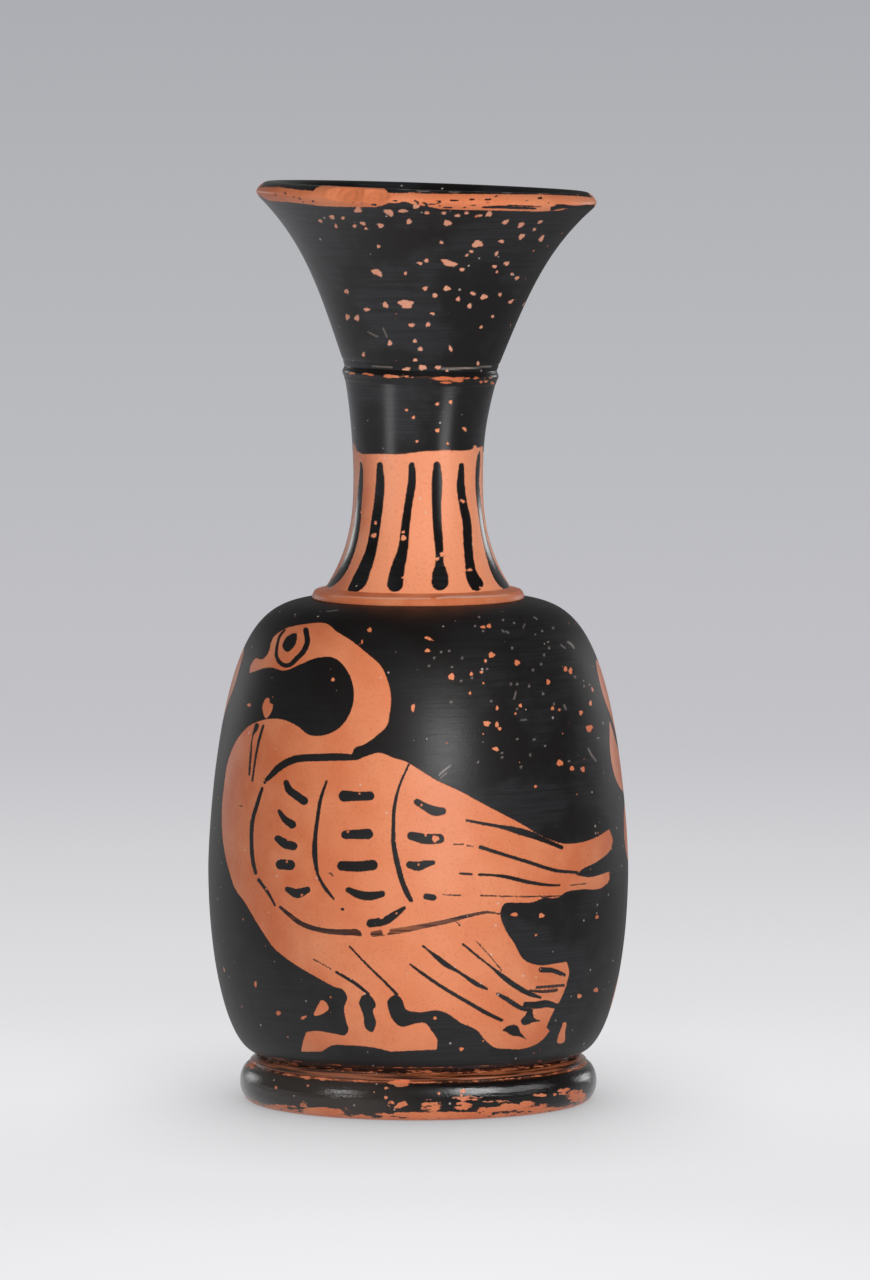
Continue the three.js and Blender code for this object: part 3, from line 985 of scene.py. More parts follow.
@dataclass
class BackOrnament:
    """Palmettes round the back: one under the handle and a half palmette on each side of it.

    Places are millimetres round the wall from the middle of the back, positive towards the right of the
    photograph, and millimetres of height.
    """

    heart: Pair = (0.0, 19.0)
    fan_step: float = 20.0
    fan_petals: int = 9
    fan_length: float = 24.0
    fan_drop: float = 2.6
    petal_width: float = 4.6
    drop_power: float = 0.6
    petal_stops: Points = ((0.24, 0.16), (0.55, 0.62))
    heart_bud: Points = ((0, 17, 5.2), (0, 19.4, 5.6))
    heart_drop: Points = ((0, 17.6, 2.2), (0, 19, 2.6))
    side_heart: Pair = (21.0, 25.0)
    side_bud: Points = ((20, 23, 3), (22.2, 26.5, 4.6))
    side_drop: Points = ((20.6, 24, 1.1), (21.6, 25.6, 1.7))
    stem: Points = ((0, 9.5, 1.2), (7, 8.6, 1.1), (14, 11.5, 1.1), (18, 18, 1.1), (19.5, 22.5, 1.3))
    curl: Points = (
        (13.5, 11, 1), (11.5, 15.5, 1), (8.2, 17, 0.9), (6.2, 14.8, 0.9), (7.6, 12.6, 0.9),
        (9.4, 13.8, 1.3),
    )
    right_leaf: Points = ((26, 29, 1.6), (33, 34, 3.6), (40, 38.8, 4.4), (44.4, 41.4, 5), (44.6, 45.2, 0.9))
    right_petals: Points = (
        (78, 24, 4.4), (49.6, 35.5, 6.4), (20, 24, 6.6), (-11, 17.5, 5.2), (-33, 25.5, 5.4), (-58, 16, 4),
    )
    left_petals: Points = (
        (78, 24, 4.4), (52, 36, 6.4), (27, 22, 5), (6, 18, 4.8), (-14, 17, 4.4), (-35, 17.5, 4.4),
        (-58, 15, 3.6),
    )

    def petal(self, heart: Pair, lean: float, length: float, width: float, side: int) -> Stroke:
        """Draws a petal, narrow at the heart and round at its tip.

        Args:
            heart: where the palmette's petals start from.
            lean: the petal's direction above level, in degrees.
            length: distance from heart to tip.
            width: the petal's width near its tip.
            side: 1 for the right half and -1 for the left.

        Returns:
            The petal.
        """
        across, rise = length * math.cos(math.radians(lean)), length * math.sin(math.radians(lean))
        stops = (*self.petal_stops, (1 - width / 2 / length, 1.0))
        run = ((heart[0] + share * across, heart[1] + share * rise, width * wide) for share, wide in stops)
        return mirror(tuple(run), side)

    def steps(self) -> Steps:
        """Puts the painting in order: petals, hearts and scrolls left in clay, then drops in the hearts.

        Returns:
            The painting steps.
        """
        half = self.fan_petals // 2
        bare = [Stroke(self.heart_bud), Stroke(self.right_leaf)]
        filled = [Stroke(self.heart_drop)]
        for k in range(-half, half + 1):
            length = self.fan_length - self.fan_drop * abs(k)
            width = self.petal_width * (length / self.fan_length) ** self.drop_power
            bare.append(self.petal(self.heart, 90 - k * self.fan_step, length, width, 1))
        for side, petals in ((1, self.right_petals), (-1, self.left_petals)):
            bare += [self.petal(self.side_heart, *petal, side) for petal in petals]
            bare += [mirror(run, side) for run in (self.side_bud, self.stem, self.curl)]
            filled.append(mirror(self.side_drop, side))
        return [(Work.BARE, s) for s in bare] + [(Work.GLOSS, s) for s in filled]


Made = tuple[Array, Canvas]


@dataclass
class Piece:
    """A piece of the flask: its object's name, the CAD node that it stands for and the record's finish.

    It is made of rings of points, which are closed where the last ring joins the first.
    """

    name: str
    node: str
    slot: Slot
    closed: bool

    def make(self) -> Made:
        """Shapes the rings and paints them, in each piece's own way."""
        raise NotImplementedError

    def build(self, finish: Finish) -> Thing:
        """Makes the piece and gives it its material and its place in the frame.

        Args:
            finish: the material.

        Returns:
            The piece's object.
        """
        thing = skin(self.name, *self.make(), self.closed)
        thing.data.materials.append(finish)
        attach(thing, "root")
        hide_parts(self.node)
        log.info("%s stands for %s, %d faces", thing.name, self.node, len(thing.data.polygons))
        return thing


@dataclass
class Body(Piece):
    """The thrown body: belly, flat-topped shoulder, and the hollow inside."""

    name: str = "painted_body"
    node: str = "body"
    slot: Slot = Slot.BLACK_GLOSS
    closed: bool = False
    base_radius: float = 19.3
    belly_rise: float = 21.9
    squareness: float = 7.0
    roundness: float = 1.5
    wall: float = 2.6
    floor: float = 3.2
    opening: float = 6.2
    wobble: float = 0.05
    fine: float = 0.17
    coarse: float = 0.36
    front: float = 78.0
    back_from: float = 62.0
    # Place and size in pixels of a patch of glossier, coarser gloss, greyed as a painted sheen.
    rubbed_and_sheen: tuple[float, ...] = (453, 748, 58, 60)
    mote_size: float = 1.7
    mote_share: float = 0.34
    flakes: Points = (
        (288.5, 840, 3, 2.6), (286.7, 861.7, 3, 3), (348, 831.8, 3, 2.6), (421.6, 804.9, 3, 3),
        (425.7, 835.3, 2.6, 3), (418.7, 864.6, 3, 3), (301.9, 895, 3.4, 2.6), (381.9, 917.4, 5, 3, -30),
        (396.5, 913.3, 3, 2.6), (385.5, 931.5, 8, 7), (435.5, 838.7, 8, 7), (332.9, 679.5, 4, 4),
        (362, 642, 2, 5), (369.7, 630, 5, 5), (413, 708, 4, 9, 10), (427.5, 650.5, 6, 4),
        (491.5, 655, 7, 6), (517, 662.7, 6, 6), (451.5, 676.8, 7, 7), (471.5, 674, 4, 4),
        (481.5, 672, 4, 3), (485.5, 661, 3, 4), (470, 693, 3, 4), (486.8, 723.5, 8, 6),
        (496.9, 724.5, 4, 6), (499.7, 728.8, 4, 4), (495.5, 749, 8, 4, 15), (520.5, 705.5, 4, 4),
        (515.6, 713.5, 3, 3), (497, 708, 3, 5), (565.6, 669, 4, 6), (570.6, 671, 4, 7), (548.2, 682, 4, 6),
        (581, 712.8, 4, 5), (590.6, 703, 3, 6), (589.3, 728.3, 7, 8, 30), (559.9, 763, 7, 7),
        (583, 769.3, 4, 6), (572, 768.5, 5, 5), (552.4, 708.5, 3.6, 4), (559.5, 710, 3, 3),
        (535.7, 786.5, 4, 3), (514.5, 914.5, 8, 4), (541.5, 915.5, 6, 5), (536, 935, 3, 3),
        (596, 990, 5, 5), (579.5, 996, 5, 5), (597, 917, 4, 4), (435, 1018, 4, 4), (278.5, 1013, 5, 5),
        (255.5, 984, 3, 7), (461.5, 1049, 5, 4), (249, 705, 4, 4), (428.5, 638.5, 10, 3, 22),
        (489, 626, 5, 5), (483, 627, 6, 3), (303.5, 1017.5, 7, 3, -25),
    )
    scratches: tuple[Stroke, ...] = (
        Stroke(((439, 775, 0.9), (444, 770.5, 1.2), (450, 766, 0.9)), 0.4),
        Stroke(((441, 777.5, 0.7), (447, 772.5, 0.8)), 0.3),
        Stroke(((588, 748, 0.8), (591, 754, 1.1), (596, 761, 0.9)), 0.35),
        Stroke(((327, 611.5, 0.9), (338, 610, 1)), 0.2),
        Stroke(((502, 630, 0.9), (504, 632, 0.8)), 0.35),
        Stroke(((506, 631.5, 0.9), (509, 633, 0.8)), 0.35),
        Stroke(((534, 617, 0.9), (537, 619, 1)), 0.35),
        Stroke(((523, 628, 0.8), (525, 624, 0.8)), 0.25),
        Stroke(((568, 642, 1.6), (572, 645, 2), (574, 648, 1.2)), 0.3),
        Stroke(((561, 645, 0.9), (565, 648, 1)), 0.3),
        Stroke(((514, 699, 1), (516, 692, 1)), 0.3),
        Stroke(((564, 705, 0.8), (566, 709, 1)), 0.35),
        Stroke(((521, 720.5, 0.9), (526, 720, 0.9)), 0.3),
    )
    motes: Points = (
        (479, 617), (475, 626), (483, 631), (503, 620), (514, 623), (542, 631), (553, 628), (512, 648),
        (548, 642), (544, 655), (549, 648), (486, 661), (461, 681), (472, 678), (482, 672), (487, 669),
        (451, 702), (452, 667), (434, 658), (462, 658), (449, 651), (441, 652), (429, 666), (533, 670),
        (541, 664), (584, 686), (575, 677), (554, 704), (517, 709), (491, 701), (534, 739.5), (530, 755),
        (521, 767), (502, 757.5), (502, 753), (545, 746), (569, 761), (598, 738), (603, 723), (478, 762),
        (517, 739), (511, 684), (517, 684), (529, 686), (543, 694),
    )

    def shoulder(self, radius: float, rise: float, belly: float, end: float) -> Array:
        """Profile from the belly over the shoulder.

        Args:
            radius: radius at the belly.
            rise: full rise of the curve.
            belly: height of the belly.
            end: radius at which the curve stops.

        Returns:
            Radius and height, one row per point.
        """
        turn = np.linspace(0, math.acos((end / radius) ** (self.squareness / 2)), 900)
        return np.column_stack([
            radius * np.cos(turn) ** (2 / self.squareness),
            belly + rise * np.sin(turn) ** (2 / self.roundness),
        ])

    def lower(self, base: float, radius: float, foot: float, belly: float) -> Array:
        """Profile of the lower wall, a quarter of an oval from the base up to the belly.

        Args:
            base: radius at the base.
            radius: radius at the belly.
            foot: height of the base.
            belly: height of the belly.

        Returns:
            Radius and height, one row per point.
        """
        turn = np.linspace(0, math.pi / 2, 300)
        return np.column_stack([base + (radius - base) * np.sin(turn), belly - (belly - foot) * np.cos(turn)])

    def profile(self, box: NodeBox, seat: float) -> Array:
        """Rings from the middle of the underside, up the outside, and down the inside to its floor.

        Args:
            box: the CAD body's box.
            seat: radius at which the shoulder meets the neck's clay.

        Returns:
            Radius and height of each ring.
        """
        belly = box.bottom + self.belly_rise
        rise = (box.top - belly) / (1 - (seat / box.radius) ** self.squareness) ** (1 / self.roundness)
        low = self.lower(self.base_radius, box.radius, box.bottom, belly)
        over = self.shoulder(box.radius, rise, belly, seat)
        inner_radius = box.radius - self.wall
        bottom = box.bottom + self.floor
        inner_low = self.lower(self.base_radius - self.wall, inner_radius, bottom, belly)
        inner_over = self.shoulder(inner_radius, rise - self.wall, belly, self.opening)
        return join_rows(
            trace([[0, box.bottom], low[0]], 4),
            trace(np.vstack([low, over[1:]]), self.fine),
            trace([over[-1], [self.opening, box.top], inner_over[-1]], 1.5),
            trace(inner_over[::-1], 2),
            trace(inner_low[::-1], 2),
            trace([inner_low[0], [0, bottom]], 4),
        )

    def make(self) -> Made:
        """Shapes and paints the body.

        Returns:
            The rings and their paint.
        """
        box = NodeBox.of(self.node)
        rows = self.profile(box, NodeBox.of("neck_fillet").radius)
        angles = ring_angles(box.radius, self.front, self.fine, self.coarse)
        rings = turn_rows(rows, angles)
        height = rows[:, 1:]
        uneven = (
            2
            + 1.6 * np.sin(2 * angles + 0.6 + height / 21)
            + 0.2 * np.sin(height * 1.1 + 0.8 * np.sin(angles))
        )
        rings[:, :, :2] *= 1 - self.wobble * uneven[:, :, None] / 4 / box.radius
        canvas = Canvas(rings.reshape(-1, 3))
        degrees = around(angles, len(rows))
        canvas.lay_front(Goose.steps(), degrees, self.front)
        behind = np.flatnonzero(np.abs(degrees) > self.back_from)
        from_back = np.radians(np.where(degrees > 0, 180 - degrees, -180 - degrees))
        places = np.stack([from_back * box.radius, canvas.points[:, 2]], axis=1)
        canvas.lay(BackOrnament().steps(), behind, places[behind], 1.0)
        brushed = canvas.touch < BRUSH_REACH
        size = self.mote_size
        motes = [Stroke(((x, y, size), (x + 0.3, y, size - 0.1)), self.mote_share) for x, y in self.motes]
        pale = [(Work.SCUFF, stroke) for stroke in (*self.scratches, *motes)]
        canvas.lay_front(losses(self.flakes) + pale, degrees, self.front)
        low = canvas.points[:, 2] - box.bottom
        behind = np.clip((np.abs(degrees) - self.front) / 20, 0, 1)
        base_edge = np.exp(-(((low - 0.4) / 0.16) ** 2))
        canvas.wear = np.where(brushed, 0.3, 0.1) + 0.16 * behind + 0.42 * base_edge
        canvas.fire = np.maximum(canvas.fire, 0.5 * np.clip(1.5 - low / 0.4, 0, 1))
        x, y, wide, high = self.rubbed_and_sheen
        across, down = VIEW.project(canvas.points).T
        seen = np.abs(degrees) < self.front
        rubbed_and_sheen = np.exp(-(((across - x) / wide) ** 2) - ((down - y) / high) ** 2) * seen
        right = np.sin(np.radians(degrees))
        sunk = np.clip((box.top - canvas.points[:, 2]) / (box.top - box.bottom), 0, 1)
        canvas.dull = 0.82 - 0.4 * rubbed_and_sheen
        # Greyer towards the bottom and on the right, and over the patch as a painted sheen.
        canvas.bloom = 0.12 + 0.4 * sunk + 0.3 * rubbed_and_sheen + 0.3 * np.clip(2 * right, 0, 1)
        # Bare clay is paler towards the front, as painted light.
        canvas.fire = np.where(canvas.cover < 0, 0.6 * np.exp(-(((degrees - 4) / 32) ** 2)), canvas.fire)
        canvas.grain = 1 + rubbed_and_sheen
        return rings, canvas


@dataclass(frozen=True)
class Lean:
    """The lean of mouth and ridge: a turn about a point on the axis at the top of the neck."""

    shift: float = 0.25
    side: float = 1.95
    back: float = 0.8
    height: float = 86.0

    def matrix(self) -> Array:
        """Works out the lean.

        Returns:
            The turn and place as a matrix.
        """
        back = Matrix.Rotation(math.radians(-self.back), 4, "X")
        side = Matrix.Rotation(math.radians(self.side), 4, "Y")
        return np.array(Matrix.Translation((self.shift, 0, self.height)) @ back @ side)

    def apply(self, rings: Array) -> Array:
        """Leans rings that are given from the turning point."""
        matrix = self.matrix()
        return rings @ matrix[:3, :3].T + matrix[:3, 3]

    def follow(self, rings: Array, start: float, end: float) -> Array:
        """Bends upright rings over until they lean at an end height.

        Args:
            rings: the upright points.
            start: height at which the bend starts.
            end: height from which they lean fully.

        Returns:
            The bent points.
        """
        share = np.clip((rings[:, :, 2:] - start) / (end - start), 0, 1)
        share = share * share * (3 - 2 * share)
        leaned = self.apply(rings - np.array([0, 0, self.height]))
        return rings + share * (leaned - rings)


LEAN = Lean()


@dataclass
class Neck(Piece):
    """The waisted neck with its bore: black above, clay with brushed tongues below."""

    name: str = "painted_neck"
    node: str = "neck"
    slot: Slot = Slot.FIRED_CLAY
    closed: bool = True
    height: float = 26.0
    waist_radius: float = 7.7
    waist_rise: float = 14.5
    root_height: float = 1.3
    top_radius: float = 9.0
    bore: float = 5.4
    top_bore: float = 6.4
    root_bore: float = 6.2
    root_power: float = 2.6
    fine: float = 0.19
    coarse: float = 0.3
    front: float = 80.0
    mesh_swell: float = 0.6
    tongue_reach: float = 88.0
    tongue_swell: float = 0.8
    back_from: float = 50.0
    band_height: float = 17.55
    black_from: float = 17.0
    band_edge: Points = (
        (350, 438), (353, 441), (357, 451), (362, 454), (380, 454), (395, 454.3), (405, 453.8),
        (415, 452.5), (425, 451.2), (445, 450.2), (455, 450.3), (462, 451), (470, 449.8), (480, 447),
        (490, 444),
    )
    front_tongues: Runs = (
        ((360.5, 462, 1.5), (361.3, 467, 3), (361.2, 475, 4), (359.4, 500, 5), (356.3, 530, 6.5),
         (354.3, 540, 7), (351.5, 550, 7), (347.8, 560, 7.2), (343, 570, 7.2), (337.5, 578, 6.5),
         (331.5, 584, 5), (328, 587, 3)),
        ((379.8, 465, 6), (380.3, 480, 8.5), (378.7, 502, 9.5), (376, 522, 10), (374, 536, 10),
         (371, 551, 11), (364.5, 569, 13), (358, 583, 14), (354.5, 587, 11), (350, 589.6, 5)),
        ((411.8, 465, 6), (412, 480, 8), (408.6, 503, 8), (406, 522, 8.5), (404.3, 537, 9),
         (402.5, 552, 10.5), (399, 564, 13), (396.5, 575, 15), (395, 584, 16)),
        ((437, 465, 7), (437, 480, 10.5), (436.6, 503, 9.5), (437.2, 522, 9), (438.6, 540, 9),
         (439.4, 555, 8), (439.6, 565, 9), (440, 576, 16), (440, 582, 17)),
        ((461.5, 465, 5), (460.7, 485, 8), (463.3, 505, 8.5), (466.5, 520, 9), (468, 545, 9),
         (470, 565, 9.5), (472.5, 577, 12.5), (476.5, 584, 14)),
        ((479.6, 451, 1.2), (478.6, 458, 3.2), (477.7, 470, 4), (477.4, 485, 4), (478.6, 500, 4),
         (480.6, 515, 4), (482.8, 530, 4.2), (486.2, 545, 5), (490.6, 560, 6.4), (494.5, 570, 8),
         (500, 580, 8.5), (505, 586, 7), (508, 589, 4)),
    )
    back_tongues: tuple[float, ...] = (96, 122, 148, -148, -122, -96)
    back_tongue: Points = ((0, 16, 0.75), (-1, 12, 1.1), (1, 5, 1.05), (0, 2.6, 1.35))
    flakes: Points = (
        (374, 535.5, 6, 5, -20), (375.5, 523, 3, 4), (403.5, 532, 3.5, 2.5), (403.5, 538, 6, 6),
        (406, 577, 9, 4, -15), (462.5, 501, 6.5, 3, 25), (437.5, 559, 3.5, 3.5), (442, 554.5, 5, 5),
        (469.5, 570, 8, 2.6), (480.5, 587.5, 4, 2.6), (437.5, 404, 4.5, 3.5), (450.5, 402, 3.5, 5),
        (406.5, 410, 3.5, 3.2), (413.5, 417.5, 3.8, 3.8), (437.5, 430.5, 5, 4.5), (464.5, 429, 6, 3, 40),
        (417, 441.5, 3.4, 3), (447.5, 443.5, 3, 3), (475, 447, 4, 3.4),
    )

    def radius_at(self, height: Array, root: float) -> Array:
        """Outer radius at heights above the shoulder.

        Args:
            height: heights above the seat, in mm.
            root: radius of the neck's root.

        Returns:
            The radii.
        """
        below = np.clip((self.waist_rise - height) / (self.waist_rise - self.root_height), 0, 1)
        above = np.clip((height - self.waist_rise) / (self.height - self.waist_rise), 0, None)
        flare = (root - self.waist_radius) * below**self.root_power
        return self.waist_radius + flare + (self.top_radius - self.waist_radius) * above**2

    def make(self) -> Made:
        """Shapes and paints the neck.

        Returns:
            The rings and their paint.
        """
        box = NodeBox.of(self.node)
        heights = np.linspace(0, self.height + 0.5, 400)
        outside = np.stack([self.radius_at(heights, box.radius), box.bottom + heights], axis=1)
        down = np.linspace(self.height + 0.5, self.waist_rise, 60)
        share = (down - self.waist_rise) / (self.height - self.waist_rise)
        widen = (self.top_bore - self.bore) * share**2
        inside = np.stack([self.bore + widen, box.bottom + down], axis=1)
        rows = join_rows(
            trace(outside, self.fine),
            trace([outside[-1], inside[0]], 0.8),
            trace(inside, 0.8),
            trace([inside[-1], [self.root_bore, box.bottom]], 1.5),
            trace([[self.root_bore, box.bottom], outside[0]], 1.5)[:-1],
        )
        angles = ring_angles(self.waist_radius + self.mesh_swell, self.front, self.fine, self.coarse)
        rings = LEAN.follow(turn_rows(rows, angles), box.bottom + self.waist_rise, box.bottom + self.height)
        canvas = Canvas(rings.reshape(-1, 3))
        degrees = around(angles, len(rows))
        front = np.flatnonzero(np.abs(degrees) < self.front)
        pixels = VIEW.project(canvas.points[front])
        edge_x, edge_y = np.array(self.band_edge).T
        height = canvas.points[:, 2] - box.bottom
        band = height - self.band_height + 0.12 * np.sin(np.radians(degrees) * 5)
        band[front] = (np.interp(pixels[:, 0], edge_x, edge_y) - pixels[:, 1]) / VIEW.pixels_per_mm
        canvas.bare(band)
        inner = np.repeat(np.arange(len(rows)) >= len(trace(outside, self.fine)), len(angles))
        canvas.cover[inner] = FAR
        tongues = [(Work.GLOSS, Stroke(run)) for run in self.front_tongues]
        outer = np.where(inner, UNSEEN, degrees)
        self.paint_back_tongues(canvas, outer, box)
        canvas.lay_front(tongues + losses(self.flakes), outer, self.tongue_reach)
        canvas.wear = 0.04 + 0.2 * (np.abs(degrees) > self.front)
        canvas.scuff = np.maximum(canvas.scuff, 0.05 * (canvas.cover < 0))
        # Bare clay is paler from the front round to the right as painted light; the left side and the back
        # stay darker as painted shade.
        pale = np.clip((degrees + 56) / 22, 0, 1) * np.clip((150 - degrees) / 50, 0, 1)
        canvas.fire = np.where(canvas.cover < 0, pale, canvas.fire)
        canvas.grain[:] = 0.5
        canvas.dull = np.where(height > self.black_from, 0.26, 0.15)
        canvas.bloom = 3 * canvas.dull
        return rings, canvas

    def paint_back_tongues(self, canvas: Canvas, degrees: Array, box: NodeBox) -> None:
        """Goes on with the tongues round the back of the neck.

        Args:
            canvas: the neck's paint.
            degrees: each point's angle from the front.
            box: the CAD neck's box.
        """
        arc = math.radians(self.waist_radius + self.tongue_swell)
        steps = []
        for middle in self.back_tongues:
            run = [((middle + off) * arc, box.bottom + rise, wide) for off, rise, wide in self.back_tongue]
            steps.append((Work.GLOSS, Stroke(tuple(run))))
        chosen = np.flatnonzero((np.abs(degrees) > self.back_from) & (np.abs(degrees) <= 180))
        places = np.stack([degrees * arc, canvas.points[:, 2]], axis=1)
        canvas.lay(steps, chosen, places[chosen], 1.0)


@dataclass
class NeckFillet(Piece):
    """The raw clay round the neck's root: a hollow slope, a worn crest with a painted highlight, and an
    upright edge.
    """

    name: str = "neck_clay_bead"
    node: str = "neck_fillet"
    slot: Slot = Slot.FIRED_CLAY
    closed: bool = True
    spacing: float = 0.13
    tuck: float = 0.5
    front: float = 80.0
    section: Points = (
        (0.04, 0.0), (0.08, 0.35), (0.26, 0.76), (0.4, 0.94), (0.58, 1.03), (1.0, 1.12), (1.4, 1.26),
        (1.8, 1.4),
    )
    wander: float = 0.05
    # A worn pale line along the bead, and a painted highlight along its crest on the right.
    scuffs_and_highlight: tuple[Stroke, ...] = (
        Stroke(((330, 596, 0.8), (372, 598, 1.2), (400, 598.4, 1.4), (430, 598.2, 1.2)), 0.35),
        Stroke(((437, 598, 1.2), (448, 597, 1.8), (468, 596.6, 1.8), (490, 596, 1), (508, 595, 0.8)), 0.6),
    )

    def make(self) -> Made:
        """Shapes and paints the bead.

        Returns:
            The rings and their paint.
        """
        box = NodeBox.of(self.node)
        inner = NodeBox.of("neck").radius - self.tuck
        section = tuple((box.radius - inset, box.bottom + rise) for inset, rise in self.section)
        side = smooth_line(section, 0.05)
        rows = join_rows(
            trace([[inner, box.bottom], side[0]], 1),
            trace(side, self.spacing),
            trace([side[-1], [inner, box.top], [inner, box.bottom]], 0.8)[:-1],
        )
        angles = ring_angles(box.radius, 90, self.spacing, self.spacing)
        rings = turn_rows(rows, angles)
        uneven = 1 + np.sin(5 * angles) * 0.5 + np.sin(13 * angles + 2) * 0.5
        rings[:, :, :2] *= 1 - self.wander * uneven[None, :, None] / 2 / box.radius
        canvas = Canvas(rings.reshape(-1, 3))
        canvas.cover[:] = -FAR
        canvas.lay_front([(Work.SCUFF, s) for s in self.scuffs_and_highlight], around(angles, len(rows)), self.front)
        return rings, canvas


@dataclass
class MouthRidge(Piece):
    """The clay ridge squeezed out between neck and mouth."""

    name: str = "mouth_clay_ridge"
    node: str = "mouth_luting"
    slot: Slot = Slot.BLACK_GLOSS
    closed: bool = True
    radius: float = 9.3
    height: float = 0.8
    rise: float = 0.3
    flank: float = 9.04
    tuck: float = 0.12
    low: float = -0.4
    high: float = 1.75
    bore: float = 6.4
    front: float = 86.0
    worn: Points = (
        (391, 376.4, 18, 3.6, 2), (447, 378.8, 34, 4, 2), (446, 382.6, 13, 2.6, 2), (458, 380.6, 11, 3.4),
        (481, 382, 3.4, 3), (486, 381.5, 4, 2.6), (492.5, 383, 3, 4, -60), (352, 373.4, 8, 2.2),
        (369, 374.4, 12, 2.2, 12),
    )

    def make(self) -> Made:
        """Shapes and paints the ridge.

        Returns:
            The rings and their paint.
        """
        heights = np.linspace(self.low, self.high, 80)
        crest = self.rise + self.height / 2
        hump = (self.radius - self.flank) * np.exp(-(((heights - crest) / self.height) ** 2) * 3)
        tuck = self.tuck * np.abs((heights - crest) / (self.high - crest)) ** 6
        face = np.stack([self.flank + hump - tuck, heights], axis=1)
        rows = join_rows(
            trace([[self.bore, self.low], face[0]], 1),
            trace(face, 0.11),
            trace([face[-1], [self.bore, self.high]], 1),
            trace([[self.bore, self.high], [self.bore, self.low]], 0.8)[:-1],
        )
        angles = ring_angles(self.radius, 88, 0.16, 0.3)
        rings = LEAN.apply(turn_rows(rows, angles))
        canvas = Canvas(rings.reshape(-1, 3))
        canvas.lay_front(losses(self.worn), around(angles, len(rows)), self.front)
        height = np.repeat(rows[:, 1], len(angles))
        canvas.wear = 0.15 + 0.33 * np.exp(-(((height - crest) / 0.3) ** 2))
        canvas.dull[:] = 0.36
        canvas.bloom[:] = 0.5
        return rings, canvas


